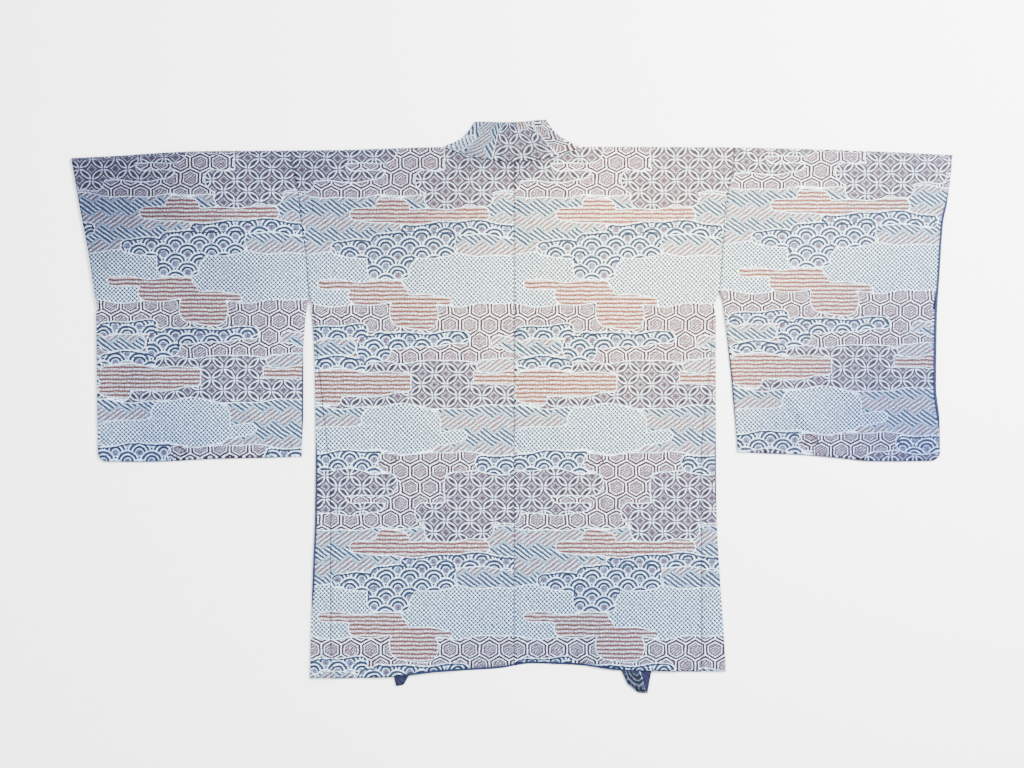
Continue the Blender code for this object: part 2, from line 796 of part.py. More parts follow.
def finish_cloth(mesh, name, wall, finish):
    """Weld a cloth's folds, turn its faces one way and give it its wall."""
    bmesh.ops.remove_doubles(mesh, verts=mesh.verts, dist=WELD)
    bmesh.ops.recalc_face_normals(mesh, faces=mesh.faces)
    data = bpy.data.meshes.new(name)
    mesh.to_mesh(data)
    mesh.free()
    data.shade_smooth()
    piece = bpy.data.objects.new(name, data)
    garment.objects.link(piece)
    data.materials.append(make_material(name, finish))
    solid = piece.modifiers.new("wall", "SOLIDIFY")
    solid.thickness = wall
    solid.offset = 0
    solid.use_even_offset = True
    solid.use_quality_normals = True
    return piece


for old in list(bpy.data.objects):
    bpy.data.objects.remove(old, do_unlink=True)
garment = bpy.data.collections.new("haori_jacket")
bpy.context.scene.collection.children.link(garment)

for side in SIDES:
    body_panel(side)
    sleeve(side)
    gusset(side)
    back_lining(side)
collar()
cuff_edge(RIGHT)
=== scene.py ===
import math
from collections import namedtuple
from functools import partial

import bmesh
import bpy
import numpy as np
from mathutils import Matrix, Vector, noise


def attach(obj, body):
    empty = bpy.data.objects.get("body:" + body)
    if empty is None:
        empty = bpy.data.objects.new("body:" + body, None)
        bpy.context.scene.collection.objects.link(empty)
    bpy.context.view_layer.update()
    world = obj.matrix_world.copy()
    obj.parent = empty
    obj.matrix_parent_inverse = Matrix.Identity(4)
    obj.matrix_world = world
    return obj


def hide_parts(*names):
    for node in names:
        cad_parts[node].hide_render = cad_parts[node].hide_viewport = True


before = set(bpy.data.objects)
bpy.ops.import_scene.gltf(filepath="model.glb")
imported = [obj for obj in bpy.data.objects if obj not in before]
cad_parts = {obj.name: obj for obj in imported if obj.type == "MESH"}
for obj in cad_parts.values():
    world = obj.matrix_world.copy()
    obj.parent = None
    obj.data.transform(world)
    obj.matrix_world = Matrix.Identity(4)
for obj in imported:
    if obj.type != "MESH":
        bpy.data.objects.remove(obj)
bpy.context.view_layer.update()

# ------------------------------------------------------------------------------------------ studio
# A pale sweep of paper to lie the jacket on, one broad soft light high at its right shoulder and a
# weaker cool one at the left. The camera hangs over the middle and looks straight down.

CAMERA_HEIGHT = 3.0
CAMERA_Y = 0.03375
VIEW_WIDTH = 1.536  # how much floor the camera takes in from side to side
SENSOR = 36.0
PAPER_SIZE = 14.0
PAPER_WHITE = (0.90, 0.90, 0.90, 1)
PAPER_ROUGHNESS = 0.9

Lamp = namedtuple("Lamp", "name place size power colour")
LAMPS = (
    Lamp("key", (1.25, 0.95, 1.75), 0.9, 300.0, (1.0, 0.975, 0.94)),
    Lamp("fill", (-1.6, -0.7, 1.9), 1.8, 52.0, (0.88, 0.93, 1.0)),
)
ROOM_COLOUR = (0.93, 0.96, 1.0, 1)
ROOM_STRENGTH = 2.2

camera_data = bpy.data.cameras.new("camera")
camera_data.sensor_width = SENSOR
camera_data.lens = SENSOR * CAMERA_HEIGHT / VIEW_WIDTH
camera = bpy.data.objects.new("camera", camera_data)
camera.location = (0, CAMERA_Y, CAMERA_HEIGHT)
bpy.context.scene.collection.objects.link(camera)
bpy.context.scene.camera = camera

for lamp in LAMPS:
    light = bpy.data.lights.new(lamp.name, "AREA")
    light.size = lamp.size
    light.energy = lamp.power
    light.color = lamp.colour
    hung = bpy.data.objects.new(lamp.name, light)
    hung.location = lamp.place
    hung.rotation_euler = (-Vector(lamp.place)).to_track_quat("-Z", "Y").to_euler()
    bpy.context.scene.collection.objects.link(hung)

room = bpy.data.worlds.new("room")
room.use_nodes = True
room_sockets = room.node_tree.nodes["Background"].inputs
room_sockets["Color"].default_value = ROOM_COLOUR
room_sockets["Strength"].default_value = ROOM_STRENGTH
bpy.context.scene.world = room

bpy.ops.mesh.primitive_plane_add(size=PAPER_SIZE)
paper = bpy.context.object
paper.name = "paper"
paper_finish = bpy.data.materials.new("paper")
paper_finish.use_nodes = True
paper_sockets = paper_finish.node_tree.nodes["Principled BSDF"].inputs
paper_sockets["Base Color"].default_value = PAPER_WHITE
paper_sockets["Roughness"].default_value = PAPER_ROUGHNESS
paper.data.materials.append(paper_finish)

# ------------------------------------------------------------------------------------- body panels
# Two lengths of figured silk, each running from the back hem over the shoulder to the front hem and
# joined down the centre of the back. The jacket lies on its front, so the backs drape over the
# fronts, the collar bands and the lining; every seam is pressed open and sinks a little.

COLLAR_FALL = 0.8175  # lowest collar tip below the shoulder line
COLLAR_RISE = 0.042
CENTRE_X = 0.003  # place of the centre-back seam
SHOULDER_Y = (COLLAR_FALL - COLLAR_RISE) / 2

CLOTH = 0.0010  # the silk's own wall
SEAM_GAP = 0.0003
BACK_LEVEL = 0.0040  # middle of the back's wall where it lies on the front
OPEN_LEVEL = 0.0026  # over the open front, between the collar bands
BAND_LEVEL = 0.0056  # over a collar band
NECK_LEVEL = 0.0054  # beside the neck seam
FRONT_LEVEL = 0.0008
RAMP = 0.035  # width of the soft step down beside a collar band
SHELF = 0.018  # how far the cloth stays up past the band's edge
NECK_RAMP = 0.060
NECK_DROP = 0.021  # dip of the neck seam at the middle
NECK_CLEAR = 0.004  # from the neck's end out to where the shoulder fold begins
NECK_CLEAR_END = 0.040
BAND_WIDTH = 0.061  # the folded collar band
GUSSET_START = 0.240
FRONT_HEM_RISE = 0.003
FOLD_OUT = 0.00273  # from a fold line out to the fold's outermost face
SEAM_SINK = 0.0007  # how deep a pressed seam sinks
SEAM_SOFT = 0.0035  # and over what width
CREASE_REACH = 3  # in half lengths or half widths from a crease's middle
MOTTLE = 0.00045  # unevenness of cloth smoothed out by hand
MOTTLE_SIZE = 0.085
RIPPLE = 0.00012
RIPPLE_SIZE = 0.022
FOLD_STEPS = 6  # around a fold
WELD = 0.00001  # corners nearer than this are one

Edge = namedtuple("Edge", "down across")
Level = namedtuple("Level", "across down")
Crease = namedtuple("Crease", "across down run_across run_down half_length half_width height")
Woven = namedtuple("Woven", "across down stretch")  # where a length's cloth starts in the repeat
Side = namedtuple(
    "Side",
    "name sign armhole panel_edge outline furi cuff sleeve_hem neck_end seam_foot body_cloth sleeve_cloth",
)

SHOULDER = (
    Level(-0.6630, 0.0150), Level(-0.6165, 0.0130), Level(-0.4740, 0.0050), Level(-0.2760, 0.0033),
    Level(-0.1035, -0.0012), Level(0.1020, -0.0018), Level(0.3045, -0.0010), Level(0.3825, 0.0002),
    Level(0.5370, 0.0050), Level(0.6570, 0.0105),
)
HEM = (
    Level(-0.3060, 0.7965), Level(-0.1815, 0.7935), Level(-0.1170, 0.7862), Level(-0.0255, 0.7809),
    Level(0.0270, 0.7732), Level(0.0975, 0.7757), Level(0.1590, 0.7834), Level(0.3180, 0.7860),
)
LINING_SHOW = (
    Level(-0.3060, 0.0012), Level(-0.2000, 0.0014), Level(-0.1400, 0.0040), Level(0.0050, 0.0034),
    Level(0.1400, 0.0036), Level(0.1900, 0.0014), Level(0.3180, 0.0012),
)
LEFT = Side(
    name="left",
    sign=-1,
    armhole=0.222,
    panel_edge=(
        Edge(0.0050, -0.3345), Edge(0.0255, -0.3330), Edge(0.0630, -0.3240), Edge(0.1080, -0.3195),
        Edge(0.1605, -0.3120), Edge(0.2220, -0.3069), Edge(0.2400, -0.3011), Edge(0.3150, -0.2945),
        Edge(0.3825, -0.2870), Edge(0.5280, -0.2755), Edge(0.7960, -0.2745),
    ),
    outline=(
        Edge(0.2280, -0.3066), Edge(0.2535, -0.3030), Edge(0.3315, -0.2988), Edge(0.4530, -0.2975),
        Edge(0.5490, -0.2985), Edge(0.6525, -0.3024), Edge(0.7965, -0.3060),
    ),
    furi=(
        Edge(0.2220, -0.3072), Edge(0.2292, -0.3080), Edge(0.2535, -0.3120), Edge(0.3570, -0.3180),
        Edge(0.4640, -0.3180),
    ),
    cuff=(
        Edge(0.0150, -0.6630), Edge(0.0855, -0.6510), Edge(0.1755, -0.6345), Edge(0.2460, -0.6262),
        Edge(0.3390, -0.6255), Edge(0.4710, -0.6236),
    ),
    sleeve_hem=(
        Level(-0.6236, 0.4710), Level(-0.5265, 0.4695), Level(-0.4485, 0.4656), Level(-0.3180, 0.4632),
    ),
    neck_end=-0.1035,
    seam_foot=-0.1839,
    body_cloth=Woven(-0.3165, 0.0, 1.0),
    sleeve_cloth=Woven(-0.6315, 0.0, 1.024),
)
RIGHT = Side(
    name="right",
    sign=1,
    armhole=0.2145,
    panel_edge=(
        Edge(0.0010, 0.3285), Edge(0.0360, 0.3270), Edge(0.0630, 0.3210), Edge(0.0930, 0.3165),
        Edge(0.1470, 0.3127), Edge(0.2145, 0.3075), Edge(0.2400, 0.2984), Edge(0.3060, 0.2955),
        Edge(0.3570, 0.2905), Edge(0.4530, 0.2810), Edge(0.7860, 0.2805),
    ),
    outline=(
        Edge(0.2145, 0.3075), Edge(0.2400, 0.3026), Edge(0.3315, 0.3027), Edge(0.4980, 0.3030),
        Edge(0.5595, 0.3042), Edge(0.6225, 0.3075), Edge(0.7440, 0.3156), Edge(0.7860, 0.3180),
    ),
    furi=(
        Edge(0.2145, 0.3078), Edge(0.2295, 0.3126), Edge(0.2580, 0.3165), Edge(0.3440, 0.3270),
        Edge(0.4560, 0.3352),
    ),
    cuff=(
        Edge(0.0105, 0.6570), Edge(0.0825, 0.6495), Edge(0.1125, 0.6435), Edge(0.1905, 0.6381),
        Edge(0.2535, 0.6342), Edge(0.3570, 0.6330), Edge(0.4087, 0.6381), Edge(0.4700, 0.6390),
    ),
    sleeve_hem=(
        Level(0.3352, 0.4565), Level(0.4230, 0.4590), Level(0.4860, 0.4644), Level(0.5370, 0.4692),
        Level(0.6390, 0.4695),
    ),
    neck_end=0.0990,
    seam_foot=0.2108,
    body_cloth=Woven(-0.0080, 0.0, 1.0),
    sleeve_cloth=Woven(0.3135, 0.010, 1.045),
)

# The soft folds, as middle, run, half length, half width and height. The first ten are the large ones.
CREASES = [Crease(*row) for row in (
    (0.444, 0.405, 0.59, 0.81, 0.055, 0.022, 0.0024),
    (-0.392, 0.400, 0.78, 0.62, 0.050, 0.022, 0.0022),
    (-0.141, 0.415, 0.75, 0.66, 0.065, 0.026, 0.0020),
    (0.069, 0.700, 0.08, 1.00, 0.090, 0.036, 0.0024),
    (-0.126, 0.730, -0.12, 0.99, 0.070, 0.030, 0.0019),
    (-0.585, 0.280, 0.10, 0.99, 0.120, 0.034, 0.0024),
    (0.579, 0.215, -0.16, 0.98, 0.110, 0.032, 0.0022),
    (0.230, 0.215, -0.50, 0.87, 0.070, 0.026, 0.0022),
    (-0.231, 0.255, 0.55, 0.83, 0.070, 0.026, 0.0020),
    (0.227, 0.690, 0.05, 1.00, 0.080, 0.030, 0.0019),
    (0.430, 0.400, 0.50, 0.87, 0.062, 0.0080, 0.0030),
    (0.522, 0.380, 0.78, 0.62, 0.050, 0.0095, 0.0022),
    (0.470, 0.402, 0.50, 0.87, 0.040, 0.0060, -0.0007),
    (-0.405, 0.392, 0.80, 0.60, 0.052, 0.0080, 0.0024),
    (-0.377, 0.425, 0.75, 0.66, 0.034, 0.0060, -0.0006),
    (-0.160, 0.395, 0.80, 0.60, 0.052, 0.0070, 0.0013),
    (-0.105, 0.440, 0.72, 0.69, 0.034, 0.0065, 0.0010),
    (-0.610, 0.330, 0.06, 1.00, 0.070, 0.0080, 0.0013),
    (-0.560, 0.120, 0.40, 0.92, 0.050, 0.0090, 0.0010),
    (0.600, 0.300, -0.10, 0.99, 0.060, 0.0080, 0.0013),
    (0.545, 0.110, -0.35, 0.94, 0.055, 0.0085, 0.0010),
    (-0.300, 0.245, 0.60, 0.80, 0.032, 0.0050, 0.0013),
    (-0.270, 0.275, 0.45, 0.89, 0.040, 0.0060, 0.0010),
    (0.290, 0.240, -0.60, 0.80, 0.034, 0.0050, 0.0013),
    (0.262, 0.268, -0.42, 0.91, 0.042, 0.0060, 0.0010),
    (0.058, 0.755, 0.10, 1.00, 0.028, 0.0070, 0.0014),
    (-0.020, 0.758, -0.06, 1.00, 0.022, 0.0060, -0.0006),
    (-0.142, 0.762, -0.10, 1.00, 0.026, 0.0070, 0.0013),
    (0.170, 0.750, 0.12, 0.99, 0.024, 0.0065, 0.0011),
    (0.242, 0.758, 0.02, 1.00, 0.020, 0.0060, 0.0010),
    (-0.215, 0.765, 0.04, 1.00, 0.020, 0.0060, 0.0010),
    (-0.060, 0.060, 0.20, 0.98, 0.050, 0.0075, 0.0010),
    (0.085, 0.070, -0.28, 0.96, 0.050, 0.0075, 0.0010),
    (0.012, 0.300, 0.05, 1.00, 0.090, 0.0060, 0.0008),
    (-0.014, 0.540, -0.03, 1.00, 0.080, 0.0060, 0.0008),
    (0.145, 0.530, 0.85, 0.53, 0.060, 0.0080, 0.0008),
    (-0.205, 0.590, 0.90, -0.44, 0.055, 0.0080, 0.0008),
    (-0.455, 0.150, 0.95, 0.31, 0.070, 0.0090, 0.0008),
    (0.455, 0.165, 0.96, -0.28, 0.070, 0.0090, 0.0008),
    (-0.500, 0.440, 0.15, 0.99, 0.026, 0.0060, 0.0011),
    (-0.430, 0.446, -0.10, 0.99, 0.020, 0.0055, 0.0010),
    (0.520, 0.440, -0.12, 0.99, 0.026, 0.0060, 0.0011),
    (0.400, 0.430, 0.14, 0.99, 0.022, 0.0055, 0.0010),
)]


def slope(table, row):
    """How steeply the curve through a table's rows runs at one row, with no overshoot."""
    last = len(table) - 1
    before = table[max(row - 1, 0)]
    here = table[row]
    after = table[min(row + 1, last)]
    if row == 0:
        return (after[1] - here[1]) / (after[0] - here[0])
    rise_in = (here[1] - before[1]) / (here[0] - before[0])
    if row == last:
        return rise_in
    rise_out = (after[1] - here[1]) / (after[0] - here[0])
    if rise_in * rise_out <= 0:
        return 0.0
    return 2 * rise_in * rise_out / (rise_in + rise_out)


def follow(table, place):
    """The second column of a table at a place in its first, on a smooth curve through the rows."""
    row = 0
    while row < len(table) - 2 and table[row + 1][0] < place:
        row += 1
    start, end = table[row], table[row + 1]
    span = end[0] - start[0]
    t = (place - start[0]) / span
    if t < 0:
        return start[1] + slope(table, row) * (place - start[0])
    if t > 1:
        return end[1] + slope(table, row + 1) * (place - end[0])
    lean_in = slope(table, row) * span
    lean_out = slope(table, row + 1) * span
    rise = end[1] - start[1]
    square = 3 * rise - 2 * lean_in - lean_out
    cube = lean_in + lean_out - 2 * rise
    return start[1] + t * (lean_in + t * (square + t * cube))


def ease(t):
    """0 before 0, 1 after 1, and a soft step between."""
    t = min(max(t, 0.0), 1.0)
    return t * t * (3 - 2 * t)


def mix(a, b, t):
    return a + (b - a) * t


def spot(across, down, height):
    """The point in space for a place on the garment."""
    return Vector((CENTRE_X + across, SHOULDER_Y - down, height))


def collar_seam(side, down):
    """The seam between a front and the collar band."""
    return mix(side.neck_end, side.seam_foot, down / COLLAR_FALL)


def band_climb(side, across, down):
    """1 over one collar band, 0 over the open front, and the plain level's share outside it."""
    outer = abs(collar_seam(side, down)) + SHELF
    inner = abs(collar_seam(side, down)) - BAND_WIDTH - SHELF
    reach = across * side.sign
    plain = (BACK_LEVEL - OPEN_LEVEL) / (BAND_LEVEL - OPEN_LEVEL)
    if reach > outer:
        return mix(1.0, plain, ease((reach - outer) / RAMP))
    return ease((reach - inner + RAMP) / RAMP)


def neck_line(across):
    """The neck seam behind the neck: a shallow dip between the two shoulder ends."""
    end = LEFT.neck_end if across < 0 else RIGHT.neck_end
    share = min(abs(across / end), 1.0)
    return NECK_DROP * (1 - share * share)


def relief(across, down):
    """Soft folds, and the slight unevenness between them."""
    height = 0.0
    for crease in CREASES:
        out_across = across - crease.across
        out_down = down - crease.down
        along = (out_across * crease.run_across + out_down * crease.run_down) / crease.half_length
        aside = (out_across * crease.run_down - out_down * crease.run_across) / crease.half_width
        far = along * along + aside * aside
        if far < CREASE_REACH**2:
            height += crease.height * math.exp(-far)
    height += MOTTLE * noise.noise(Vector((across, down, 0)) / MOTTLE_SIZE)
    return height + RIPPLE * noise.noise(Vector((across, down, 1)) / RIPPLE_SIZE)


def seam_reach(across, down):
    """How far the nearest seam is: the centre back, a panel's side edge or the neck."""
    side = LEFT if across < 0 else RIGHT
    reach = abs(across)
    nearest = min(reach, abs(reach - abs(follow(side.panel_edge, down))))
    if reach < abs(side.neck_end):
        nearest = min(nearest, abs(down - neck_line(across)))
    return nearest


def seam_sink(across, down):
    """How far the cloth dips towards its nearest seam or hem."""
    side = LEFT if across < 0 else RIGHT
    in_body = down > GUSSET_START and abs(across) < abs(follow(side.outline, down))
    hem = follow(HEM if in_body else side.sleeve_hem, across)
    nearest = min(seam_reach(across, down), abs(hem - down)) / SEAM_SOFT
    return SEAM_SINK * math.exp(-nearest * nearest)


def back_height(across, down):
    """Middle of the back's wall above the floor, as it drapes over what lies below it."""
    climb = band_climb(LEFT, across, down) + band_climb(RIGHT, across, down)
    height = OPEN_LEVEL + (BAND_LEVEL - OPEN_LEVEL) * climb
    past_neck = down - neck_line(across)
    beside = abs(across) - abs(LEFT.neck_end)
    near_neck = (1 - ease(past_neck / NECK_RAMP)) * (1 - ease(beside / RAMP))
    return mix(height, NECK_LEVEL, near_neck) + relief(across, down)


def fold_line(across):
    """Where the cloth turns over at the shoulder, just inside the outline."""
    return follow(SHOULDER, across) + FOLD_OUT


def top_height(across, down):
    """Middle of the back's wall, sunk where a seam or hem is pressed."""
    return back_height(across, down) - seam_sink(across, down)


def around_fold(across, down, away_across, away_down, step):
    """A point on a fold's round edge; step 0 is on the upper cloth and FOLD_STEPS on the lower one."""
    angle = math.pi * (0.5 - step / FOLD_STEPS)
    rise = (top_height(across, down) - FRONT_LEVEL) / 2
    out = (FOLD_OUT - CLOTH / 2) * math.cos(angle)
    height = FRONT_LEVEL + rise + rise * math.sin(angle)
    return spot(across + away_across * out, down + away_down * out, height)


NECK_COLUMNS = 25  # cells across half the neck
SHOULDER_COLUMNS = 58
PANEL_COLUMNS = NECK_COLUMNS + SHOULDER_COLUMNS
ARMHOLE_ROWS = 55
POINT_ROWS = 5
SKIRT_ROWS = 138
PANEL_ROWS = ARMHOLE_ROWS + POINT_ROWS + SKIRT_ROWS


def row_share(side, row):
    """How far down its side edge a panel's row is; rows fall on the armhole's end and the gusset."""
    top = fold_line(side.panel_edge[0].across)
    length = follow(HEM, side.panel_edge[-1].across) - top
    armhole = (side.armhole - top) / length
    point = (GUSSET_START - top) / length
    if row <= ARMHOLE_ROWS:
        return armhole * row / ARMHOLE_ROWS
    if row <= ARMHOLE_ROWS + POINT_ROWS:
        return mix(armhole, point, (row - ARMHOLE_ROWS) / POINT_ROWS)
    return mix(point, 1.0, (row - ARMHOLE_ROWS - POINT_ROWS) / SKIRT_ROWS)


def neck_share(side):
    """How far across the panel the shoulder fold begins."""
    return (side.neck_end + side.sign * NECK_CLEAR) / side.panel_edge[0].across


def column_share(side, column):
    """How far from the centre seam to the side edge one column is."""
    if column <= NECK_COLUMNS:
        return neck_share(side) * column / NECK_COLUMNS
    return mix(neck_share(side), 1.0, (column - NECK_COLUMNS) / SHOULDER_COLUMNS)


def back_place(side, column, row):
    """Across and down for one corner of the back."""
    share = column_share(side, column)
    top_across = share * side.panel_edge[0].across
    top = fold_line(top_across)
    if column < NECK_COLUMNS:
        top = neck_line(top_across) + SEAM_GAP
    foot_across = share * side.panel_edge[-1].across
    foot = follow(HEM, foot_across) - follow(LINING_SHOW, foot_across)
    down = mix(top, foot, row_share(side, row))
    centre = side.sign * SEAM_GAP / 2
    return mix(centre, follow(side.panel_edge, down), share), down


def front_place(side, column, row):
    """Across and down for one corner of the front, which hangs from the same shoulder fold."""
    back_share = column_share(side, column + NECK_COLUMNS)
    share = (back_share - neck_share(side)) / (1 - neck_share(side))
    top = fold_line(back_share * side.panel_edge[0].across)
    foot = follow(HEM, mix(side.seam_foot, side.panel_edge[-1].across, share)) - FRONT_HEM_RISE
    down = mix(top, foot, row_share(side, row))
    clear = mix(NECK_CLEAR, SEAM_GAP, ease((down - top) / NECK_CLEAR_END))
    inner = collar_seam(side, down) + side.sign * clear
    return mix(inner, follow(side.panel_edge, down), share), down


def on_cloth(cloth, across, down, over=1):
    """The place on the flat cloth, before it was sewn: past the shoulder fold it runs on upwards."""
    return Vector((across - cloth.across, cloth.down + down * over * cloth.stretch, 0))


def upper_layer(cloth, place):
    """Corners of the layer on top, given their places across and down."""

    def corner(column, row):
        across, down = place(column, row)
        return spot(across, down, top_height(across, down)), on_cloth(cloth, across, down)

    return corner


def lower_layer(cloth, fold, place):
    """Corners of the turn over the shoulder fold and then of the flat layer that hangs from it."""

    def corner(column, row):
        if row <= FOLD_STEPS:
            across, down = fold(column)
            turned = FOLD_OUT * math.cos(math.pi * row / FOLD_STEPS)
            return around_fold(across, down, 0, -1, row), on_cloth(cloth, across, turned)
        across, down = place(column, row - FOLD_STEPS)
        return spot(across, down, FRONT_LEVEL), on_cloth(cloth, across, down, -1)

    return corner


def lay_cloth(mesh, columns, rows, place):
    """Add a grid of cloth. place gives each corner's point and its place on the flat cloth."""
    flat = mesh.verts.layers.float_vector.get("cloth") or mesh.verts.layers.float_vector.new("cloth")
    corners = bmesh.ops.create_grid(mesh, x_segments=columns, y_segments=rows, size=0.5)["verts"]
    for corner in corners:
        column = round((corner.co.x + 0.5) * columns)
        row = round((corner.co.y + 0.5) * rows)
        corner.co, corner[flat] = place(column, row)


# The figured cloth is woven in drifting clouds, each filled with one old motif. One repeat is charted
# here in millimetres from its corner; later clouds lie over earlier ones, and a repeat meets itself.
REPEAT_WIDTH = 318
REPEAT_LENGTH = 498
CLOUD_ROUND = 15  # radius of a cloud's ends
CLOUD_TAPER = 0.16  # how much a cloud narrows towards its ends
TOP_LINE = 20  # how near its upper edge a wave cloud's dark line is looked for
DRIFTS = ((2.6, 2, 3), (1.4, 5, -4))  # slow waves of the cloud edges: height, turns across and down
MOTIFS = ("kikko", "shippo", "ajiro", "stripes", "seigaiha", "kanoko")
CLOUD_LAYERS = {"clouds_one": MOTIFS[:3], "clouds_two": MOTIFS[3:]}
FAR = 1000.0  # a depth beyond any cloud's
Cloud = namedtuple("Cloud", "motif left right top bottom")
CLOUDS = [Cloud(*row) for row in (
    ("ajiro", -20, 340, 72, 166), ("kanoko", -20, 340, 160, 235),
    ("shippo", -20, 340, 318, 392), ("ajiro", -20, 340, 388, 459),
    ("shippo", -12, 124, -14, 52), ("kikko", 62, 160, 4, 33),
    ("kikko", 16, 178, 49, 74), ("shippo", 212, 345, -14, 44),
    ("shippo", 168, 335, 33, 70), ("shippo", 182, 286, 60, 92),
    ("stripes", 110, 160, 77, 100), ("stripes", 70, 280, 90, 114),
    ("seigaiha", 146, 322, 111, 133), ("seigaiha", 100, 232, 125, 168),
    ("seigaiha", 42, 150, 140, 166), ("ajiro", 228, 330, 131, 160),
    ("kanoko", 2, 98, 164, 199), ("seigaiha", 96, 168, 150, 198),
    ("kanoko", 160, 330, 166, 236), ("stripes", 22, 150, 198, 212),
    ("stripes", 68, 158, 206, 236), ("stripes", 130, 224, 221, 234),
    ("stripes", 130, 203, 228, 270), ("seigaiha", 6, 98, 265, 289),
    ("ajiro", 12, 80, 287, 314), ("seigaiha", 80, 132, 284, 320),
    ("seigaiha", 105, 250, 275, 298), ("ajiro", 282, 336, 281, 304),
    ("kikko", 132, 308, 297, 322), ("seigaiha", 10, 96, 314, 334),
    ("ajiro", 260, 330, 314, 335), ("stripes", 8, 168, 334, 371),
    ("stripes", 8, 58, 362, 384), ("stripes", 232, 330, 334, 358),
    ("shippo", 162, 256, 320, 390), ("shippo", 238, 312, 352, 384),
    ("kanoko", 88, 206, 387, 456), ("kanoko", 4, 120, 416, 456),
    ("kanoko", 190, 246, 424, 444), ("seigaiha", 2, 144, 455, 486),
    ("seigaiha", 258, 334, 459, 487), ("kikko", 112, 256, 457, 484),
    ("shippo", 6, 142, 484, 520), ("shippo", 214, 330, 486, 522),
)]


def cloud_depths(places):
    """For each motif, how deep inside its clouds every place of the flat cloth lies, in metres, and
    how far below the upper edge of a wave cloud it is. Kikko fills what no cloud covers."""
    across, down = places[:, 0] * 1000, places[:, 1] * 1000
    turn_across = 2 * np.pi * across / REPEAT_WIDTH
    turn_down = 2 * np.pi * down / REPEAT_LENGTH
    drift = sum(height * np.sin(u * turn_across + v * turn_down) for height, u, v in DRIFTS)
    depths = {motif: np.full(len(places), FAR if motif == "kikko" else -FAR) for motif in MOTIFS}
    under_top = np.zeros(len(places))
    for cloud in CLOUDS:
        half_width = (cloud.right - cloud.left) / 2
        half_length = (cloud.bottom - cloud.top) / 2
        aside = across - (cloud.left + cloud.right) / 2 + REPEAT_WIDTH / 2
        aside = np.abs(aside % REPEAT_WIDTH - REPEAT_WIDTH / 2)
        if 2 * half_width < REPEAT_WIDTH:
            half_length = half_length * (1 - CLOUD_TAPER * np.minimum(aside / half_width, 1) ** 2)
        bend = np.minimum(half_length, CLOUD_ROUND)
        aside = aside - half_width + bend
        along = down + drift - (cloud.top + cloud.bottom) / 2 + REPEAT_LENGTH / 2
        along = along % REPEAT_LENGTH - REPEAT_LENGTH / 2
        above = along < 0
        along = np.abs(along) - half_length + bend
        corner = np.hypot(np.maximum(aside, 0), np.maximum(along, 0))
        depth = bend - corner - np.minimum(np.maximum(aside, along), 0)
        for motif in MOTIFS:
            if motif == cloud.motif:
                depths[motif] = np.maximum(depths[motif], depth)
            else:
                depths[motif] = np.minimum(depths[motif], -depth)
        if cloud.motif == "seigaiha":
            near = above & (depth > -TOP_LINE / 2) & (depth < TOP_LINE)
            under_top = np.where(near & (depths["seigaiha"] <= depth), depth, under_top)
    return {motif: depth / 1000 for motif, depth in depths.items()}, under_top / 1000


def garment_place(point):
    """Across and down for a finished mesh's corner."""
    return point.co.x - CENTRE_X, SHOULDER_Y - point.co.y


def mark_cloth(data):
    """Note at every corner how deep it lies in each motif's clouds, and how far the next seam is."""
    places = np.empty(len(data.vertices) * 3)
    data.attributes["cloth"].data.foreach_get("vector", places)
    places = places.reshape(-1, 3)
    depths, places[:, 2] = cloud_depths(places)
    data.attributes["cloth"].data.foreach_set("vector", places.ravel())
    for label, motifs in CLOUD_LAYERS.items():
        three = np.stack([depths[motif] for motif in motifs], axis=1)
        data.attributes.new(label, "FLOAT_VECTOR", "POINT").data.foreach_set("vector", three.ravel())
    seams = [seam_reach(*garment_place(point)) for point in data.vertices]
    data.attributes.new("seam", "FLOAT", "POINT").data.foreach_set("value", seams)


def finish_cloth(mesh, name, wall, material, node):
    """Weld a cloth, give it its wall and marks, and put it in the place of its solid, if it has one."""
    bmesh.ops.remove_doubles(mesh, verts=mesh.verts, dist=WELD)
    bmesh.ops.recalc_face_normals(mesh, faces=mesh.faces)
    data = bpy.data.meshes.new(name)
    mesh.to_mesh(data)
    mesh.free()
    data.shade_smooth()
    mark_cloth(data)
    piece = bpy.data.objects.new(name, data)
    bpy.context.scene.collection.objects.link(piece)
    data.materials.append(material)
    shell = piece.modifiers.new("wall", "SOLIDIFY")
    shell.thickness = wall
    shell.offset = 0
    shell.use_even_offset = False
    shell.use_quality_normals = True
    if node:
        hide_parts(node)
    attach(piece, "root")
    return piece


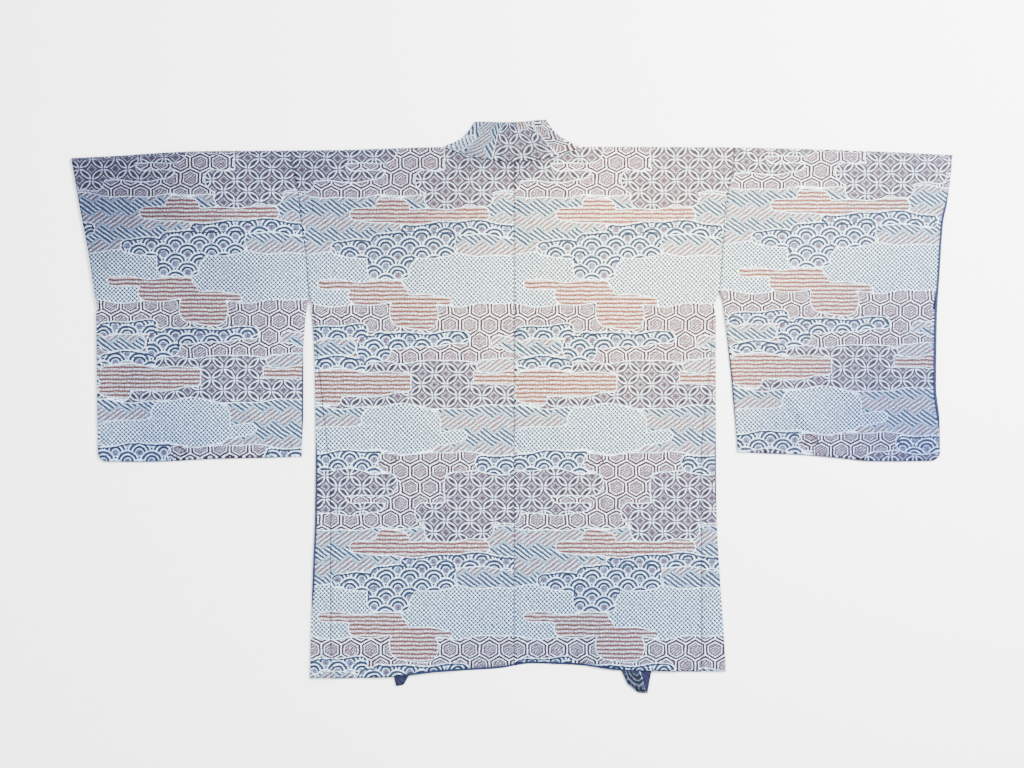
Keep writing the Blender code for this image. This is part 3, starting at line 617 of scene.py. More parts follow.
class Thread:
    """One value running through a material, so that its maths can be written as plain sums."""

    def __init__(self, material, socket=None):
        self.material = material
        self.socket = socket

    def node(self, kind, settings, inputs, output=0):
        """Add a node: its settings first, then the values or links of its sockets."""
        made = self.material.node_tree.nodes.new(kind)
        for name, setting in settings.items():
            setattr(made, name, setting)
        for name, value in inputs.items():
            if isinstance(value, Thread):
                self.material.node_tree.links.new(value.socket, made.inputs[name])
            else:
                made.inputs[name].default_value = value
        return Thread(self.material, made.outputs[output])

    def attribute(self, name, output=2):
        """A value noted at the corners: its number, or its vector from output 1."""
        return self.node("ShaderNodeAttribute", {"attribute_name": name}, {}, output)

    def own_place(self):
        """Where a point lies in its piece's own space, in metres."""
        return self.node("ShaderNodeTexCoord", {}, {}, 3)

    def mottle(self, scale, detail, output=0):
        """Soft noise over the places in this thread, as a number or, from output 1, a vector."""
        sockets = {"Vector": self, "Scale": scale, "Detail": detail}
        return self.node("ShaderNodeTexNoise", {}, sockets, output)

    def vector(self, operation, *values, output=0):
        return self.node("ShaderNodeVectorMath", {"operation": operation}, dict(enumerate(values)), output)

    def part(self, axis):
        """One of a vector's three numbers."""
        return self.node("ShaderNodeSeparateXYZ", {}, {"Vector": self}, axis)

    def maths(self, operation, *values):
        return self.node("ShaderNodeMath", {"operation": operation}, dict(enumerate(values)))

    def __add__(self, other):
        return self.maths("ADD", self, other)

    def __sub__(self, other):
        return self.maths("SUBTRACT", self, other)

    def __rsub__(self, other):
        return self.maths("SUBTRACT", other, self)

    def __mul__(self, other):
        return self.maths("MULTIPLY", self, other)

    def __truediv__(self, other):
        return self.maths("DIVIDE", self, other)

    def __mod__(self, other):
        return self.maths("FLOORED_MODULO", self, other)

    def __abs__(self):
        return self.maths("ABSOLUTE", self)

    __radd__ = __add__
    __rmul__ = __mul__

    def root(self):
        return self.maths("SQRT", self)

    def cosine(self):
        return self.maths("COSINE", self)

    def most(self, other):
        return self.maths("MAXIMUM", self, other)

    def least(self, other):
        return self.maths("MINIMUM", self, other)

    def step(self, start, end):
        """0 before start, 1 after end, softly between; start may be the larger."""
        sockets = {"Value": self, "From Min": start, "From Max": end}
        return self.node("ShaderNodeMapRange", {"interpolation_type": "SMOOTHSTEP"}, sockets)

    def line(self, middle, half_width, soft):
        """1 within half_width of middle."""
        return abs(self - middle).step(half_width + soft, half_width - soft)

    def blend(self, colour, other, share, way="MIX"):
        """One colour mixed with another."""
        settings = {"data_type": "RGBA", "blend_type": way}
        return self.node("ShaderNodeMix", settings, {0: share, 6: colour, 7: other}, 2)

    def finish(self, colour, height, strength, distance):
        """Lead a colour, and the bump from a height, to the material's shader."""
        sockets = {"Strength": strength, "Distance": distance, "Height": height}
        bump = self.node("ShaderNodeBump", {}, sockets)
        shader = self.material.node_tree.nodes["Principled BSDF"]
        self.material.node_tree.links.new(colour.socket, shader.inputs["Base Color"])
        self.material.node_tree.links.new(bump.socket, shader.inputs["Normal"])
        return self.material


# The motifs are drawn in metres, each from its own repeat. A line is given by how far its middle lies
# from the cell's wall or centre and by its half width, and a filled part by where its edge begins and
# ends. stray is a slow unevenness that breaks the red threads off here and there.
Figure = namedtuple("Figure", "dark pale accent")
SOFT = 0.00035  # softness of a woven line's edge


def brick(across, down, width, row):
    """Distances from the middles of the two nearest cells of a repeat laid like bricks."""
    cells = []
    for shift in (0.0, 0.5):
        aside = abs((across / width + shift) % 1.0 - 0.5) * width
        along = abs((down / (2 * row) + shift) % 1.0 - 0.5) * (2 * row)
        cells.append((aside, along))
    return cells


def kikko(across, down, stray):
    """Tortoiseshell: six-sided cells, a raised line and a dark one, and short slanting strokes within."""
    width, row = 0.0296, 0.0243
    walls = []
    for aside, along in brick(across, down, width, row):
        walls.append(aside.most(aside * 0.5 + along * (0.75 * width / row)))
    wall = width / 2 - walls[0].least(walls[1])
    dark = wall.line(0.0025, 0.0011, SOFT).most(wall.line(0.0065, 0.0006, SOFT) * 0.7)
    pale = wall.step(0.0011, 0.0006).most(wall.line(0.0048, 0.0008, SOFT) * 0.8)
    stroke = abs(((across * 0.8 + down + stray * 0.006) / 0.0038) % 1.0 - 0.5)
    core = wall.step(0.0070, 0.0078) * stray.step(0.30, 0.45)
    pale = pale.most(stroke.step(0.34, 0.44) * core * 0.9)
    return Figure(dark, pale, stroke.step(0.24, 0.14) * core * 0.8)


def shippo(across, down, stray):
    """Linked rings: four leaves meet at each star, with a small lozenge between the stars."""
    width, row = 0.0360, 0.0170
    rings = []
    lozenges = []
    for aside, along in brick(across, down, width, row):
        along = along * (width / 2 / row)
        rings.append((aside * aside + along * along).root())
        lozenges.append(aside + along)
    leaf = width / 2 - rings[0].most(rings[1])
    lozenge = lozenges[0].least(lozenges[1])
    dark = leaf.step(0.0030, 0.0037).most(leaf.line(-0.0010, 0.0010, SOFT) * 0.85)
    dark = dark.most(lozenge.step(0.0034, 0.0026) * 0.8)
    pale = leaf.line(0.0016, 0.0007, SOFT).most(lozenge.line(0.0068, 0.0006, SOFT) * 0.6)
    return Figure(dark, pale, lozenge.line(0.0048, 0.0008, SOFT) * stray.step(0.38, 0.50))


def ajiro(across, down, stray):
    """Plaited bark: bundles of three slanting bars, two blocks long, laid in herringbone."""
    block = 0.0172
    along_fall = (across * 0.60 + down * 0.80) / block
    along_rise = (across * 0.60 - down * 0.80) / block
    fall_share = along_fall % 1.0
    rise_share = along_rise % 1.0
    turn = (along_fall - fall_share - along_rise + rise_share + 0.5) % 4.0
    turned = turn.step(1.9, 2.1)
    bundles = []
    for over, along in ((rise_share, fall_share + turn - 0.5), (fall_share, rise_share + 3.5 - turn)):
        inside = along.line(1.0, 0.86, 0.05)
        bar = abs((over * 3.0) % 1.0 - 0.5)
        bundles.append((bar.step(0.24, 0.15) * inside, bar.step(0.34, 0.42) * inside))
    dark = bundles[0][0] * (1 - turned)
    pale = (bundles[0][1] * (1 - turned)).most(bundles[1][1] * turned) * 0.85
    return Figure(dark, pale, bundles[1][0] * turned * stray.step(0.25, 0.42))


def stripes(across, down, stray):
    """Plain lines along the weft, the pale ones broken into short stitches."""
    bar = abs((down / 0.0061) % 1.0 - 0.5)
    dotted = (across * (2 * math.pi / 0.0042) + stray * 9.0).cosine().step(-1.2, 0.4)
    return Figure(bar.step(0.22, 0.12), bar.step(0.32, 0.42) * dotted, bar.step(-0.1, -0.2))


def seigaiha(across, down, stray):
    """Sea waves: whole rings laid like scales, each row over the one above, red where two part."""
    width, row, reach = 0.0360, 0.0138, 0.0178
    rows = down / row
    share = rows % 1.0
    above = (1 - share) * row
    aside = abs((across / width + (rows - share) * 0.5) % 1.0 - 0.5) * width
    beside = width / 2 - aside
    lower = (beside * beside + (above + row) * (above + row)).root()
    own = (aside * aside + above * above).root()
    upper = (beside * beside + (above - row) * (above - row)).root()
    over = own.step(reach + 0.0001, reach - 0.0001)
    ring = own * over + upper * (1 - over)
    over = lower.step(reach + 0.0001, reach - 0.0001)
    ring = lower * over + ring * (1 - over)
    dark = ring.line(0.0138, 0.0011, SOFT).most(ring.line(0.0080, 0.0013, SOFT))
    pale = ring.step(0.0157, 0.0163).most(ring.line(0.0109, 0.0009, SOFT))
    pale = pale.most(ring.line(0.0055, 0.0006, SOFT) * 0.8)
    return Figure(dark, pale, ring.step(0.0034, 0.0024) * stray.step(0.40, 0.55) * 0.7)


def kanoko(across, down, stray):
    """Fawn spots: small dark dots between raised ones."""
    knot = (across * (math.pi / 0.0031)).cosine() * (down * (math.pi / 0.0032)).cosine()
    drawn = (across * (2 * math.pi / 0.0062) - down * (2 * math.pi / 0.0064)).cosine()
    dark = knot.step(0.18, 0.50).most(drawn.step(0.2, 1.0) * 0.5)
    return Figure(dark, knot.step(0.05, -0.35), knot.step(2.0, 3.0))


Dye = namedtuple("Dye", "ground dark accent")
BURGUNDY = (0.110, 0.016, 0.024, 1)
DYES = {
    "kikko": Dye((0.196, 0.131, 0.145, 1), (0.036, 0.010, 0.013, 1), BURGUNDY),
    "shippo": Dye((0.160, 0.133, 0.162, 1), (0.022, 0.013, 0.018, 1), BURGUNDY),
    "ajiro": Dye((0.200, 0.265, 0.292, 1), (0.012, 0.020, 0.042, 1), (0.190, 0.080, 0.060, 1)),
    "stripes": Dye((0.350, 0.222, 0.172, 1), (0.130, 0.034, 0.024, 1), BURGUNDY),
    "seigaiha": Dye((0.120, 0.158, 0.215, 1), (0.008, 0.016, 0.036, 1), BURGUNDY),
    "kanoko": Dye((0.275, 0.372, 0.395, 1), (0.022, 0.032, 0.052, 1), BURGUNDY),
}
RAISED_WHITE = (0.770, 0.905, 0.915, 1)
CLOUD_EDGE = 0.0007  # half width of the raised line round each cloud
CLOUD_BLEND = 0.0002  # softness of a cloud's own edge, under that line
CREST = (0.0024, 0.0010)  # middle and half width of the dark line under a wave cloud's top
WANDER = (0.0030, 0.0030, 0.0)  # how far the weaving strays from its plan
WANDER_SCALE = 70.0
STRAY_SCALE = 110.0
CREPE_SCALE = 520.0  # the crepe's fine pebbling
SLUB_STRETCH = (160.0, 700.0, 1.0)  # thick places in the weft, long and thin
SLUB_SHARE = 0.5
GRAIN = (0.56, 0.96)  # range of the grain from its deepest to its highest
GRAIN_DARK = 0.40  # shade of the deepest grain
GRAIN_SPAN = 1.2
PALE_RISE = 0.9  # heights of the threads and the grain, as shares of the weave's relief
DARK_SINK = 0.5
ACCENT_SINK = 0.2
GRAIN_RISE = 0.5
WEAVE_RELIEF = 0.0012
SHEEN_ROUGHNESS = 0.4
SILK_GLOSS = 0.16
# Painted shade in the groove along every seam: how near the seam it reaches, how strong it is, and its
# colour.
SEAM_SHADE_REACH = 0.0006
SEAM_SHADE_SHARE = 0.6
SEAM_PAINTED_SHADE = (0.030, 0.028, 0.045, 1)
FACING_NAVY = (0.0045, 0.0045, 0.026, 1)  # turned-in corner of the collar's end
FACING_EDGE = (0.0002, 0.0008)
FACING_PAINTED_SHADE = (0.12, 0.12, 0.16, 1)  # and the painted shade on the silk beside it, for the shadow under the back's hem
SHADE_EDGE = (-0.00002, -0.0003)

# Painted light and shade: the cloth's colour is made warm and bright in the middle as a painted pool of
# light, and cooler and duller elsewhere as painted shade.
PAINTED_LIGHT_RAG_SCALE = 6.0
PAINTED_LIGHT_RAGGED = 0.3  # how unevenly a zone of painted light or shade fades out
WHITE_KEEPS = 0.3  # how much of their white the raised threads keep under the painted shade
Fade = namedtuple("Fade", "place reach tint")
# The painted shade over all the cloth, the painted pool of light in the middle, and patches of deeper
# painted shade.
PAINTED_SHADE_TINT = (0.48, 0.575, 0.79, 1)
PAINTED_LIGHT_POOL = Fade((0.17, 0.25, 0.0), 0.60, (1.12, 1.09, 0.94, 1))
PAINTED_SHADES = (
    Fade((-0.62, 0.40, 0.0), 0.45, (0.29, 0.28, 0.38, 1)),
    Fade((-0.20, 0.42, 0.0), 0.30, (0.50, 0.52, 0.66, 1)),
    Fade((-0.54, -0.10, 0.0), 0.26, (0.56, 0.62, 0.80, 1)),
    Fade((0.60, -0.10, 0.0), 0.42, (0.34, 0.41, 0.70, 1)),
    Fade((0.10, -0.42, 0.0), 0.34, (0.72, 0.77, 0.88, 1)),
    Fade((0.00, 0.43, 0.0), 0.11, (0.36, 0.42, 0.56, 1)),
)


def start_finish(name, roughness, sheen):
    """A new silk finish, as a thread to draw its maths from."""
    material = bpy.data.materials.new(name)
    material.use_nodes = True
    sockets = material.node_tree.nodes["Principled BSDF"].inputs
    sockets["Roughness"].default_value = roughness
    sockets["Sheen Weight"].default_value = sheen
    sockets["Sheen Roughness"].default_value = SHEEN_ROUGHNESS
    sockets["Specular IOR Level"].default_value = SILK_GLOSS
    return Thread(material)


def figured_silk():
    """The jacket's outer cloth: raised white threads over a dyed crepe ground, with painted light and
    shade.
    """
    start = start_finish("figured_silk", roughness=0.58, sheen=0.04)
    flat = start.attribute("cloth", 1)
    drawn = start.vector("MULTIPLY_ADD", flat.mottle(WANDER_SCALE, 1.0, 1), WANDER, flat)
    across, down = drawn.part(0), drawn.part(1)
    stray = flat.mottle(STRAY_SCALE, 1.0)

    depths = {}
    for label, motifs in CLOUD_LAYERS.items():
        clouds = start.attribute(label, 1)
        for axis, motif in enumerate(motifs):
            depths[motif] = clouds.part(axis)

    dark = pale = accent = border = None
    ground, line, spot_colour = DYES["kikko"]
    # Kikko is the ground under all the clouds, so it has no rim and no dye over another's.
    for motif, draw in zip(MOTIFS, (kikko, shippo, ajiro, stripes, seigaiha, kanoko)):
        inside = depths[motif].step(-CLOUD_BLEND, CLOUD_BLEND)
        figure = [threads * inside for threads in draw(across, down, stray)]
        if dark is None:
            dark, pale, accent = figure
            continue
        dark, pale, accent = dark + figure[0], pale + figure[1], accent + figure[2]
        edge = abs(depths[motif])
        border = edge if border is None else border.least(edge)
        dye = DYES[motif]
        ground = start.blend(ground, dye.ground, inside)
        line = start.blend(line, dye.dark, inside)
        spot_colour = start.blend(spot_colour, dye.accent, inside)

    rim = border.step(CLOUD_EDGE + SOFT, CLOUD_EDGE - SOFT)
    crest = flat.part(2).line(*CREST, SOFT)
    pale = (pale * (1 - crest)).most(rim)
    colour = start.blend(ground, line, dark.most(crest))
    colour = start.blend(colour, spot_colour, accent)
    colour = start.blend(colour, RAISED_WHITE, pale)

    slub = start.vector("MULTIPLY", flat, SLUB_STRETCH).mottle(1.0, 1.0)
    grain = flat.mottle(CREPE_SCALE, 1.5) + slub * SLUB_SHARE
    shade = grain.step(*GRAIN) * GRAIN_SPAN + GRAIN_DARK
    shades = start.node("ShaderNodeCombineColor", {}, {0: shade, 1: shade, 2: shade})
    colour = start.blend(colour, shades, 1.0, "MULTIPLY")

    # Painted light and shade: the colour is multiplied by a warm painted pool of light in the middle and by
    # cooler painted shade elsewhere.
    place = start.own_place()
    patch_rag = place.mottle(PAINTED_LIGHT_RAG_SCALE, 2.0)

    def near(fade):
        gap = start.vector("DISTANCE", place, fade.place, output=1)
        return (gap + (patch_rag - 0.5) * PAINTED_LIGHT_RAGGED).step(fade.reach, 0.0)

    painted_tint = start.blend(PAINTED_SHADE_TINT, PAINTED_LIGHT_POOL.tint, near(PAINTED_LIGHT_POOL))
    colour = start.blend(colour, painted_tint, 1 - pale * WHITE_KEEPS, "MULTIPLY")
    # Patches of deeper painted shade.
    for fade in PAINTED_SHADES:
        colour = start.blend(colour, fade.tint, near(fade), "MULTIPLY")

    # Painted shade along every seam.
    seam = start.attribute("seam").step(SEAM_SHADE_REACH + SOFT, SEAM_SHADE_REACH - SOFT)
    colour = start.blend(colour, SEAM_PAINTED_SHADE, seam * SEAM_SHADE_SHARE)
    facing = start.attribute("facing")
    # Painted shade on the silk beside the right end's turned-in corner, for the shadow under the back's
    # hem.
    colour = start.blend(colour, FACING_PAINTED_SHADE, facing.step(*SHADE_EDGE), "MULTIPLY")
    colour = start.blend(colour, FACING_NAVY, facing.step(*FACING_EDGE))
    height = pale * PALE_RISE - dark * DARK_SINK - accent * ACCENT_SINK + grain * GRAIN_RISE
    return start.finish(colour, height, strength=0.9, distance=WEAVE_RELIEF)


silk = figured_silk()


def body_panel(side):
    """Back, shoulder fold and front in one cloth."""
    mesh = bmesh.new()
    back = upper_layer(side.body_cloth, partial(back_place, side))

    def fold(column):
        return back_place(side, column + NECK_COLUMNS, 0)

    front = lower_layer(side.body_cloth, fold, partial(front_place, side))
    lay_cloth(mesh, PANEL_COLUMNS, PANEL_ROWS, back)
    lay_cloth(mesh, SHOULDER_COLUMNS, PANEL_ROWS + FOLD_STEPS, front)
    name = side.name
    piece = finish_cloth(mesh, f"panel_{name}", CLOTH, silk, f"body_{name}")


for side in (LEFT, RIGHT):
    body_panel(side)

# ----------------------------------------------------------------------------------------- sleeves
# Each sleeve is one length of the same silk folded at the top, sewn to the body above and hanging free
# below the arm, closed along the bottom and up the lower half of the cuff round a soft corner.

CUFF_ROUND = 0.012
Show = namedtuple("Show", "start end fade width")
CUFF_SHOW = Show(0.050, 0.440, 0.048, 0.0046)  # the lining that has crept out past the right cuff
SLEEVE_COLUMNS = 80
SLEEVE_ROWS = 114
ROUND_CELLS = 4  # cells to half the corner's round
ARMHOLE_SHARE = 0.5
CUFF_SEWN = (6 / 14, 7 / 14)  # shares of the cuff where its seam begins and is whole


def shown(show, place):
    """How much lining shows past an edge at one place along it."""
    begun = ease((place - show.start) / show.fade)
    return show.width * (begun - ease((place - show.end + show.fade) / show.fade))


def cuff_inset(side, down, share):
    """From the outline in to the cuff's cloth: the shown lining, and the fold where the cuff is sewn."""
    sewn = FOLD_OUT * ease((share - CUFF_SEWN[0]) / (CUFF_SEWN[1] - CUFF_SEWN[0]))
    return sewn if side is LEFT else sewn + shown(CUFF_SHOW, down)


def sleeve_bottom_level(side, across):
    return follow(side.sleeve_hem, across) - FOLD_OUT


def sleeve_corners(side):
    """Where the sleeve's edges begin and end across: inner top, inner foot, outer top, outer foot."""
    inner_top = side.panel_edge[0].across + side.sign * SEAM_GAP
    outer_foot = side.cuff[-1].across - side.sign * cuff_inset(side, side.cuff[-1].down, 1)
    return inner_top, side.furi[-1].across, side.cuff[0].across, outer_foot


def round_point(side, turn):
    """A point on the corner's round and the way out from it; turn is 0 at the cuff, 1 at the bottom."""
    outer_foot = sleeve_corners(side)[3]
    angle = math.pi / 2 * turn
    away = side.sign * math.cos(angle), math.sin(angle)
    across = outer_foot - side.sign * CUFF_ROUND + CUFF_ROUND * away[0]
    down = sleeve_bottom_level(side, outer_foot) - CUFF_ROUND + CUFF_ROUND * away[1]
    return (across, down), away


def sleeve_inner(side, share):
    """The inner edge: armhole seam, then the open part below it."""
    inner_top, inner_foot, _, _ = sleeve_corners(side)
    if share <= ARMHOLE_SHARE:
        down = mix(fold_line(inner_top), side.armhole, share / ARMHOLE_SHARE)
        return follow(side.panel_edge, down) + side.sign * SEAM_GAP, down
    foot = sleeve_bottom_level(side, inner_foot)
    down = mix(side.armhole, foot, (share - ARMHOLE_SHARE) / (1 - ARMHOLE_SHARE))
    return follow(side.furi, down), down


def sleeve_outer(side, row):
    """The cuff edge, which ends halfway round the corner."""
    straight = SLEEVE_ROWS - ROUND_CELLS
    if row > straight:
        return round_point(side, (row - straight) / ROUND_CELLS / 2)[0]
    foot = round_point(side, 0)[0][1]
    down = mix(fold_line(side.cuff[0].across), foot, row / straight)
    return follow(side.cuff, down) - side.sign * cuff_inset(side, down, row / SLEEVE_ROWS), down


def sleeve_top(side, column):
    inner_top, _, outer_top, _ = sleeve_corners(side)
    across = mix(inner_top, outer_top, column / SLEEVE_COLUMNS)
    return across, fold_line(across)


def sleeve_bottom(side, column):
    """The bottom edge, which ends halfway round the corner."""
    straight = SLEEVE_COLUMNS - ROUND_CELLS
    if column > straight:
        return round_point(side, 1 - (column - straight) / ROUND_CELLS / 2)[0]
    across = mix(sleeve_corners(side)[1], round_point(side, 1)[0][0], column / straight)
    return across, sleeve_bottom_level(side, across)


def sleeve_place(side, column, row):
    """Across and down inside the sleeve, blended from its four edges."""
    u = column / SLEEVE_COLUMNS
    v = row / SLEEVE_ROWS
    inner, outer = sleeve_inner(side, v), sleeve_outer(side, row)
    top, bottom = sleeve_top(side, column), sleeve_bottom(side, column)
    head = sleeve_inner(side, 0), sleeve_outer(side, 0)
    foot = sleeve_inner(side, 1), sleeve_outer(side, SLEEVE_ROWS)
    place = []
    for axis in (0, 1):
        sides = mix(inner[axis], outer[axis], u) + mix(top[axis], bottom[axis], v)
        plain_top = mix(head[0][axis], head[1][axis], u)
        plain_bottom = mix(foot[0][axis], foot[1][axis], u)
        place.append(sides - mix(plain_top, plain_bottom, v))
    return place


def sleeve_rim(side):
    """Cells and ways out along the sewn edges: down the cuff, round, and in along the bottom."""
    cells = []
    for row in range(round(CUFF_SEWN[1] * SLEEVE_ROWS), SLEEVE_ROWS + 1):
        turn = max(row - SLEEVE_ROWS + ROUND_CELLS, 0) / ROUND_CELLS / 2
        cells.append((SLEEVE_COLUMNS, row, round_point(side, turn)[1]))
    for column in range(SLEEVE_COLUMNS - 1, -1, -1):
        turn = 1 - max(column - SLEEVE_COLUMNS + ROUND_CELLS, 0) / ROUND_CELLS / 2
        cells.append((column, SLEEVE_ROWS, round_point(side, turn)[1]))
    return cells


def sleeve(side):
    """Upper and lower layers, the fold between them at the top and the sewn rim."""
    mesh = bmesh.new()
    rim = sleeve_rim(side)
    place = partial(sleeve_place, side)

    def rim_corner(step, index):
        column, row, away = rim[index]
        across, down = place(column, row)
        over = 1 if step <= FOLD_STEPS / 2 else -1
        return around_fold(across, down, *away, step), on_cloth(side.sleeve_cloth, across, down, over)

    upper = upper_layer(side.sleeve_cloth, place)
    lower = lower_layer(side.sleeve_cloth, partial(place, row=0), place)
    lay_cloth(mesh, SLEEVE_COLUMNS, SLEEVE_ROWS, upper)
    lay_cloth(mesh, SLEEVE_COLUMNS, SLEEVE_ROWS + FOLD_STEPS, lower)
    lay_cloth(mesh, FOLD_STEPS, len(rim) - 1, rim_corner)
    node = f"sleeve_{side.name}"
    piece = finish_cloth(mesh, f"{node}_cloth", CLOTH, silk, node)


for side in (LEFT, RIGHT):
    sleeve(side)

# ----------------------------------------------------------------------------------------- gussets
# A narrow wedge of the silk is let in under each arm, between back and front, from a point at the
# armhole to the hem. Laid flat it folds down its middle, and the fold is the jacket's side edge.

GUSSET_COLUMNS = 7
SIDE_SHOW = {"left": Show(0.425, 0.705, 0.050, 0.0030), "right": Show(0.420, 0.550, 0.040, 0.0020)}


def gusset_place(side, column, row):
    """Across and down for one corner of a gusset, from the panel's seam to its own fold."""
    down = back_place(side, PANEL_COLUMNS, ARMHOLE_ROWS + POINT_ROWS + row)[1]
    inner = follow(side.panel_edge, down) + side.sign * SEAM_GAP
    outer = follow(side.outline, down) - side.sign * (FOLD_OUT + shown(SIDE_SHOW[side.name], down))
    return mix(inner, outer, column / GUSSET_COLUMNS), down


def gusset(side):
    """The wedge's upper half, the fold at the jacket's side and the lower half."""
    mesh = bmesh.new()
    cloth = side.body_cloth
    place = partial(gusset_place, side)
    upper = upper_layer(cloth, place)

    def corner(column, row):
        if column <= GUSSET_COLUMNS:
            return upper(column, row)
        step = column - GUSSET_COLUMNS
        fold, down = place(GUSSET_COLUMNS, row)
        if step <= FOLD_STEPS:
            out = side.sign * FOLD_OUT * math.sin(math.pi * step / FOLD_STEPS / 2)
            return around_fold(fold, down, side.sign, 0, step), on_cloth(cloth, fold + out, down)
        across, down = place(GUSSET_COLUMNS + FOLD_STEPS - step, row)
        beyond = 2 * (fold + side.sign * FOLD_OUT) - across
        return spot(across, down, FRONT_LEVEL), on_cloth(cloth, beyond, down)

    lay_cloth(mesh, 2 * GUSSET_COLUMNS + FOLD_STEPS, SKIRT_ROWS, corner)
    node = f"gusset_{side.name}"
    piece = finish_cloth(mesh, f"{node}_cloth", CLOTH, silk, node)


for side in (LEFT, RIGHT):
    gusset(side)

# ------------------------------------------------------------------------------------- back lining
# Plain navy silk behind each back. It is cut a little longer than the outer cloth and rolls out below
# the hem as a thin soft edge.

LINING = 0.0006
LINING_DROP = 0.0016  # middle of the lining's wall below the middle of the back's
LINING_INSET = 0.004  # how far it stays inside the back's top, and half that at its side
LINING_COLUMNS = 42
LINING_ROWS = 100
ROLL_STEPS = 6
ROLL_RADIUS = 0.0010
ROLL_SHARE = 0.6  # of what shows, where that is less than the full roll
NAVY_DEEP = (0.002, 0.005, 0.024, 1)
NAVY_LIGHT = (0.005, 0.013, 0.060, 1)
TWILL = 0.0011  # from one rib to the next
TWILL_RELIEF = 0.0003
STREAK_STRETCH = (90.0, 340.0, 90.0)


def navy_silk():
    """Plain lining: a fine twill, darker and lighter in long streaks."""
    start = start_finish("navy_lining", roughness=0.46, sheen=0.03)
    place = start.own_place()
    streak = start.vector("MULTIPLY", place, STREAK_STRETCH).mottle(1.0, 2.0)
    twill = ((place.part(0) + place.part(1)) * (2 * math.pi / TWILL)).cosine() * 0.5 + 0.5
    colour = start.blend(NAVY_DEEP, NAVY_LIGHT, streak.step(0.3, 0.7) * 0.7 + twill * 0.3)
    return start.finish(colour, twill + streak, strength=0.4, distance=TWILL_RELIEF)


navy = navy_silk()


def back_lining(side):
    """Flat behind the back, then rolled under below the hem."""
    mesh = bmesh.new()

    def corner(column, row):
        panel_column = column * PANEL_COLUMNS / LINING_COLUMNS
        panel_row = min(row, LINING_ROWS) * PANEL_ROWS / LINING_ROWS
        across, down = back_place(side, panel_column, panel_row)
        if row == 0:
            down += LINING_INSET
        if column == LINING_COLUMNS:
            across -= side.sign * LINING_INSET / 2
        height = back_height(across, down) - LINING_DROP - seam_sink(across, down) / 2
        if row > LINING_ROWS:
            angle = math.pi * (row - LINING_ROWS - 1) / (ROLL_STEPS - 1)
            show = follow(LINING_SHOW, across) - LINING / 2
            bend = min(ROLL_RADIUS, show * ROLL_SHARE)
            down += show - bend + bend * math.sin(angle)
            height -= min(bend, height / 2 - LINING / 2) * (1 - math.cos(angle))
        return spot(across, down, height), Vector((across, down, 0))

    lay_cloth(mesh, LINING_COLUMNS, LINING_ROWS + ROLL_STEPS, corner)
    node = f"lining_{side.name}"
    piece = finish_cloth(mesh, f"{node}_cloth", LINING, navy, node)


for side in (LEFT, RIGHT):
    back_lining(side)

# ------------------------------------------------------------------------------------ lining rolls
# Where the navy lining of the fronts and sleeves has crept out past the silk it shows as soft thin
# rolls: at the right cuff, down the sides, along the sleeves' bottoms and inside their open edges.

ROLL_WALL = 0.0005
ROLL_SIDES = 12  # round a roll
ROLL_TURN = 1.5 * math.pi  # how far round it goes before it runs back in
ROLL_CELL = 0.004  # length of a cell along it
ROLL_LEAST = 0.0004  # thinnest bend, at a roll's ends
ROLL_OPEN = 0.0007  # how far from the roll's middle its two edges run back into the cloth
FREE_LEG = 0.0045  # and how far in they run at an open edge
SEWN_LEG = 0.0016  # and where the edge is sewn
FURI_SHOW = {"left": Show(0.290, 0.456, 0.060, 0.0042), "right": Show(0.255, 0.440, 0.070, 0.0026)}
HEM_SHOW = {"left": Show(-0.6060, -0.3240, 0.050, 0.0020), "right": Show(0.3420, 0.6220, 0.050, 0.0020)}
# past is how much of what shows lies beyond the line in the table; the rest is inside it.
Roll = namedtuple("Roll", "name table show away past leg node", defaults=[None])


def lining_roll(roll):
    """The lining comes out of the edge, turns round and goes back in."""
    mesh = bmesh.new()
    cells = round((roll.show.end - roll.show.start) / ROLL_CELL)
    away = Vector(roll.away)

    def corner(turn, index):
        along = mix(roll.show.start, roll.show.end, index / cells)
        beside = follow(roll.table, along)
        edge = Vector((beside, along)) if roll.away[0] else Vector((along, beside))
        swell = max(shown(roll.show, along) / 2 - SEAM_GAP, ROLL_LEAST)
        edge += away * (shown(roll.show, along) * roll.past - swell)
        middle = (FRONT_LEVEL + back_height(*edge)) / 2
        bend = swell - ROLL_WALL / 2
        step = min(max(turn - 1, 0), ROLL_SIDES)
        angle = ROLL_TURN * (step / ROLL_SIDES - 0.5)
        out, lift = bend * math.cos(angle), bend * math.sin(angle)
        if turn in (0, ROLL_SIDES + 2):
            out, lift = -roll.leg, math.copysign(ROLL_OPEN, lift)
        return spot(*(edge + away * out), middle + lift), Vector((along, beside, 0))

    lay_cloth(mesh, ROLL_SIDES + 2, cells, corner)
    piece = finish_cloth(mesh, roll.name, ROLL_WALL, navy, roll.node)
    bend = roll.show.width / 2 - SEAM_GAP - ROLL_WALL / 2
    around = 2 * roll.leg + (ROLL_TURN - math.sqrt(2)) * bend
    length = roll.show.end - roll.show.start
    around * length


lining_roll(Roll("cuff_roll", RIGHT.cuff, CUFF_SHOW, (1, 0), 0, FREE_LEG, "cuff_edge_right"))
for side in (LEFT, RIGHT):
    name = side.name
    outward, inward = (side.sign, 0), (-side.sign, 0)
    lining_roll(Roll(f"side_roll_{name}", side.outline, SIDE_SHOW[name], outward, 0, SEWN_LEG))
    lining_roll(Roll(f"hem_roll_{name}", side.sleeve_hem, HEM_SHOW[name], (0, 1), 0.4, SEWN_LEG))
    lining_roll(Roll(f"furi_roll_{name}", side.furi, FURI_SHOW[name], inward, 0.6, FREE_LEG))

# ------------------------------------------------------------------------------------------ collar
# One long band of the silk folded double over a core. It runs up one front, round the back of the
# neck and down the other; laid out it folds over beside the neck, and its ends are turned in below.

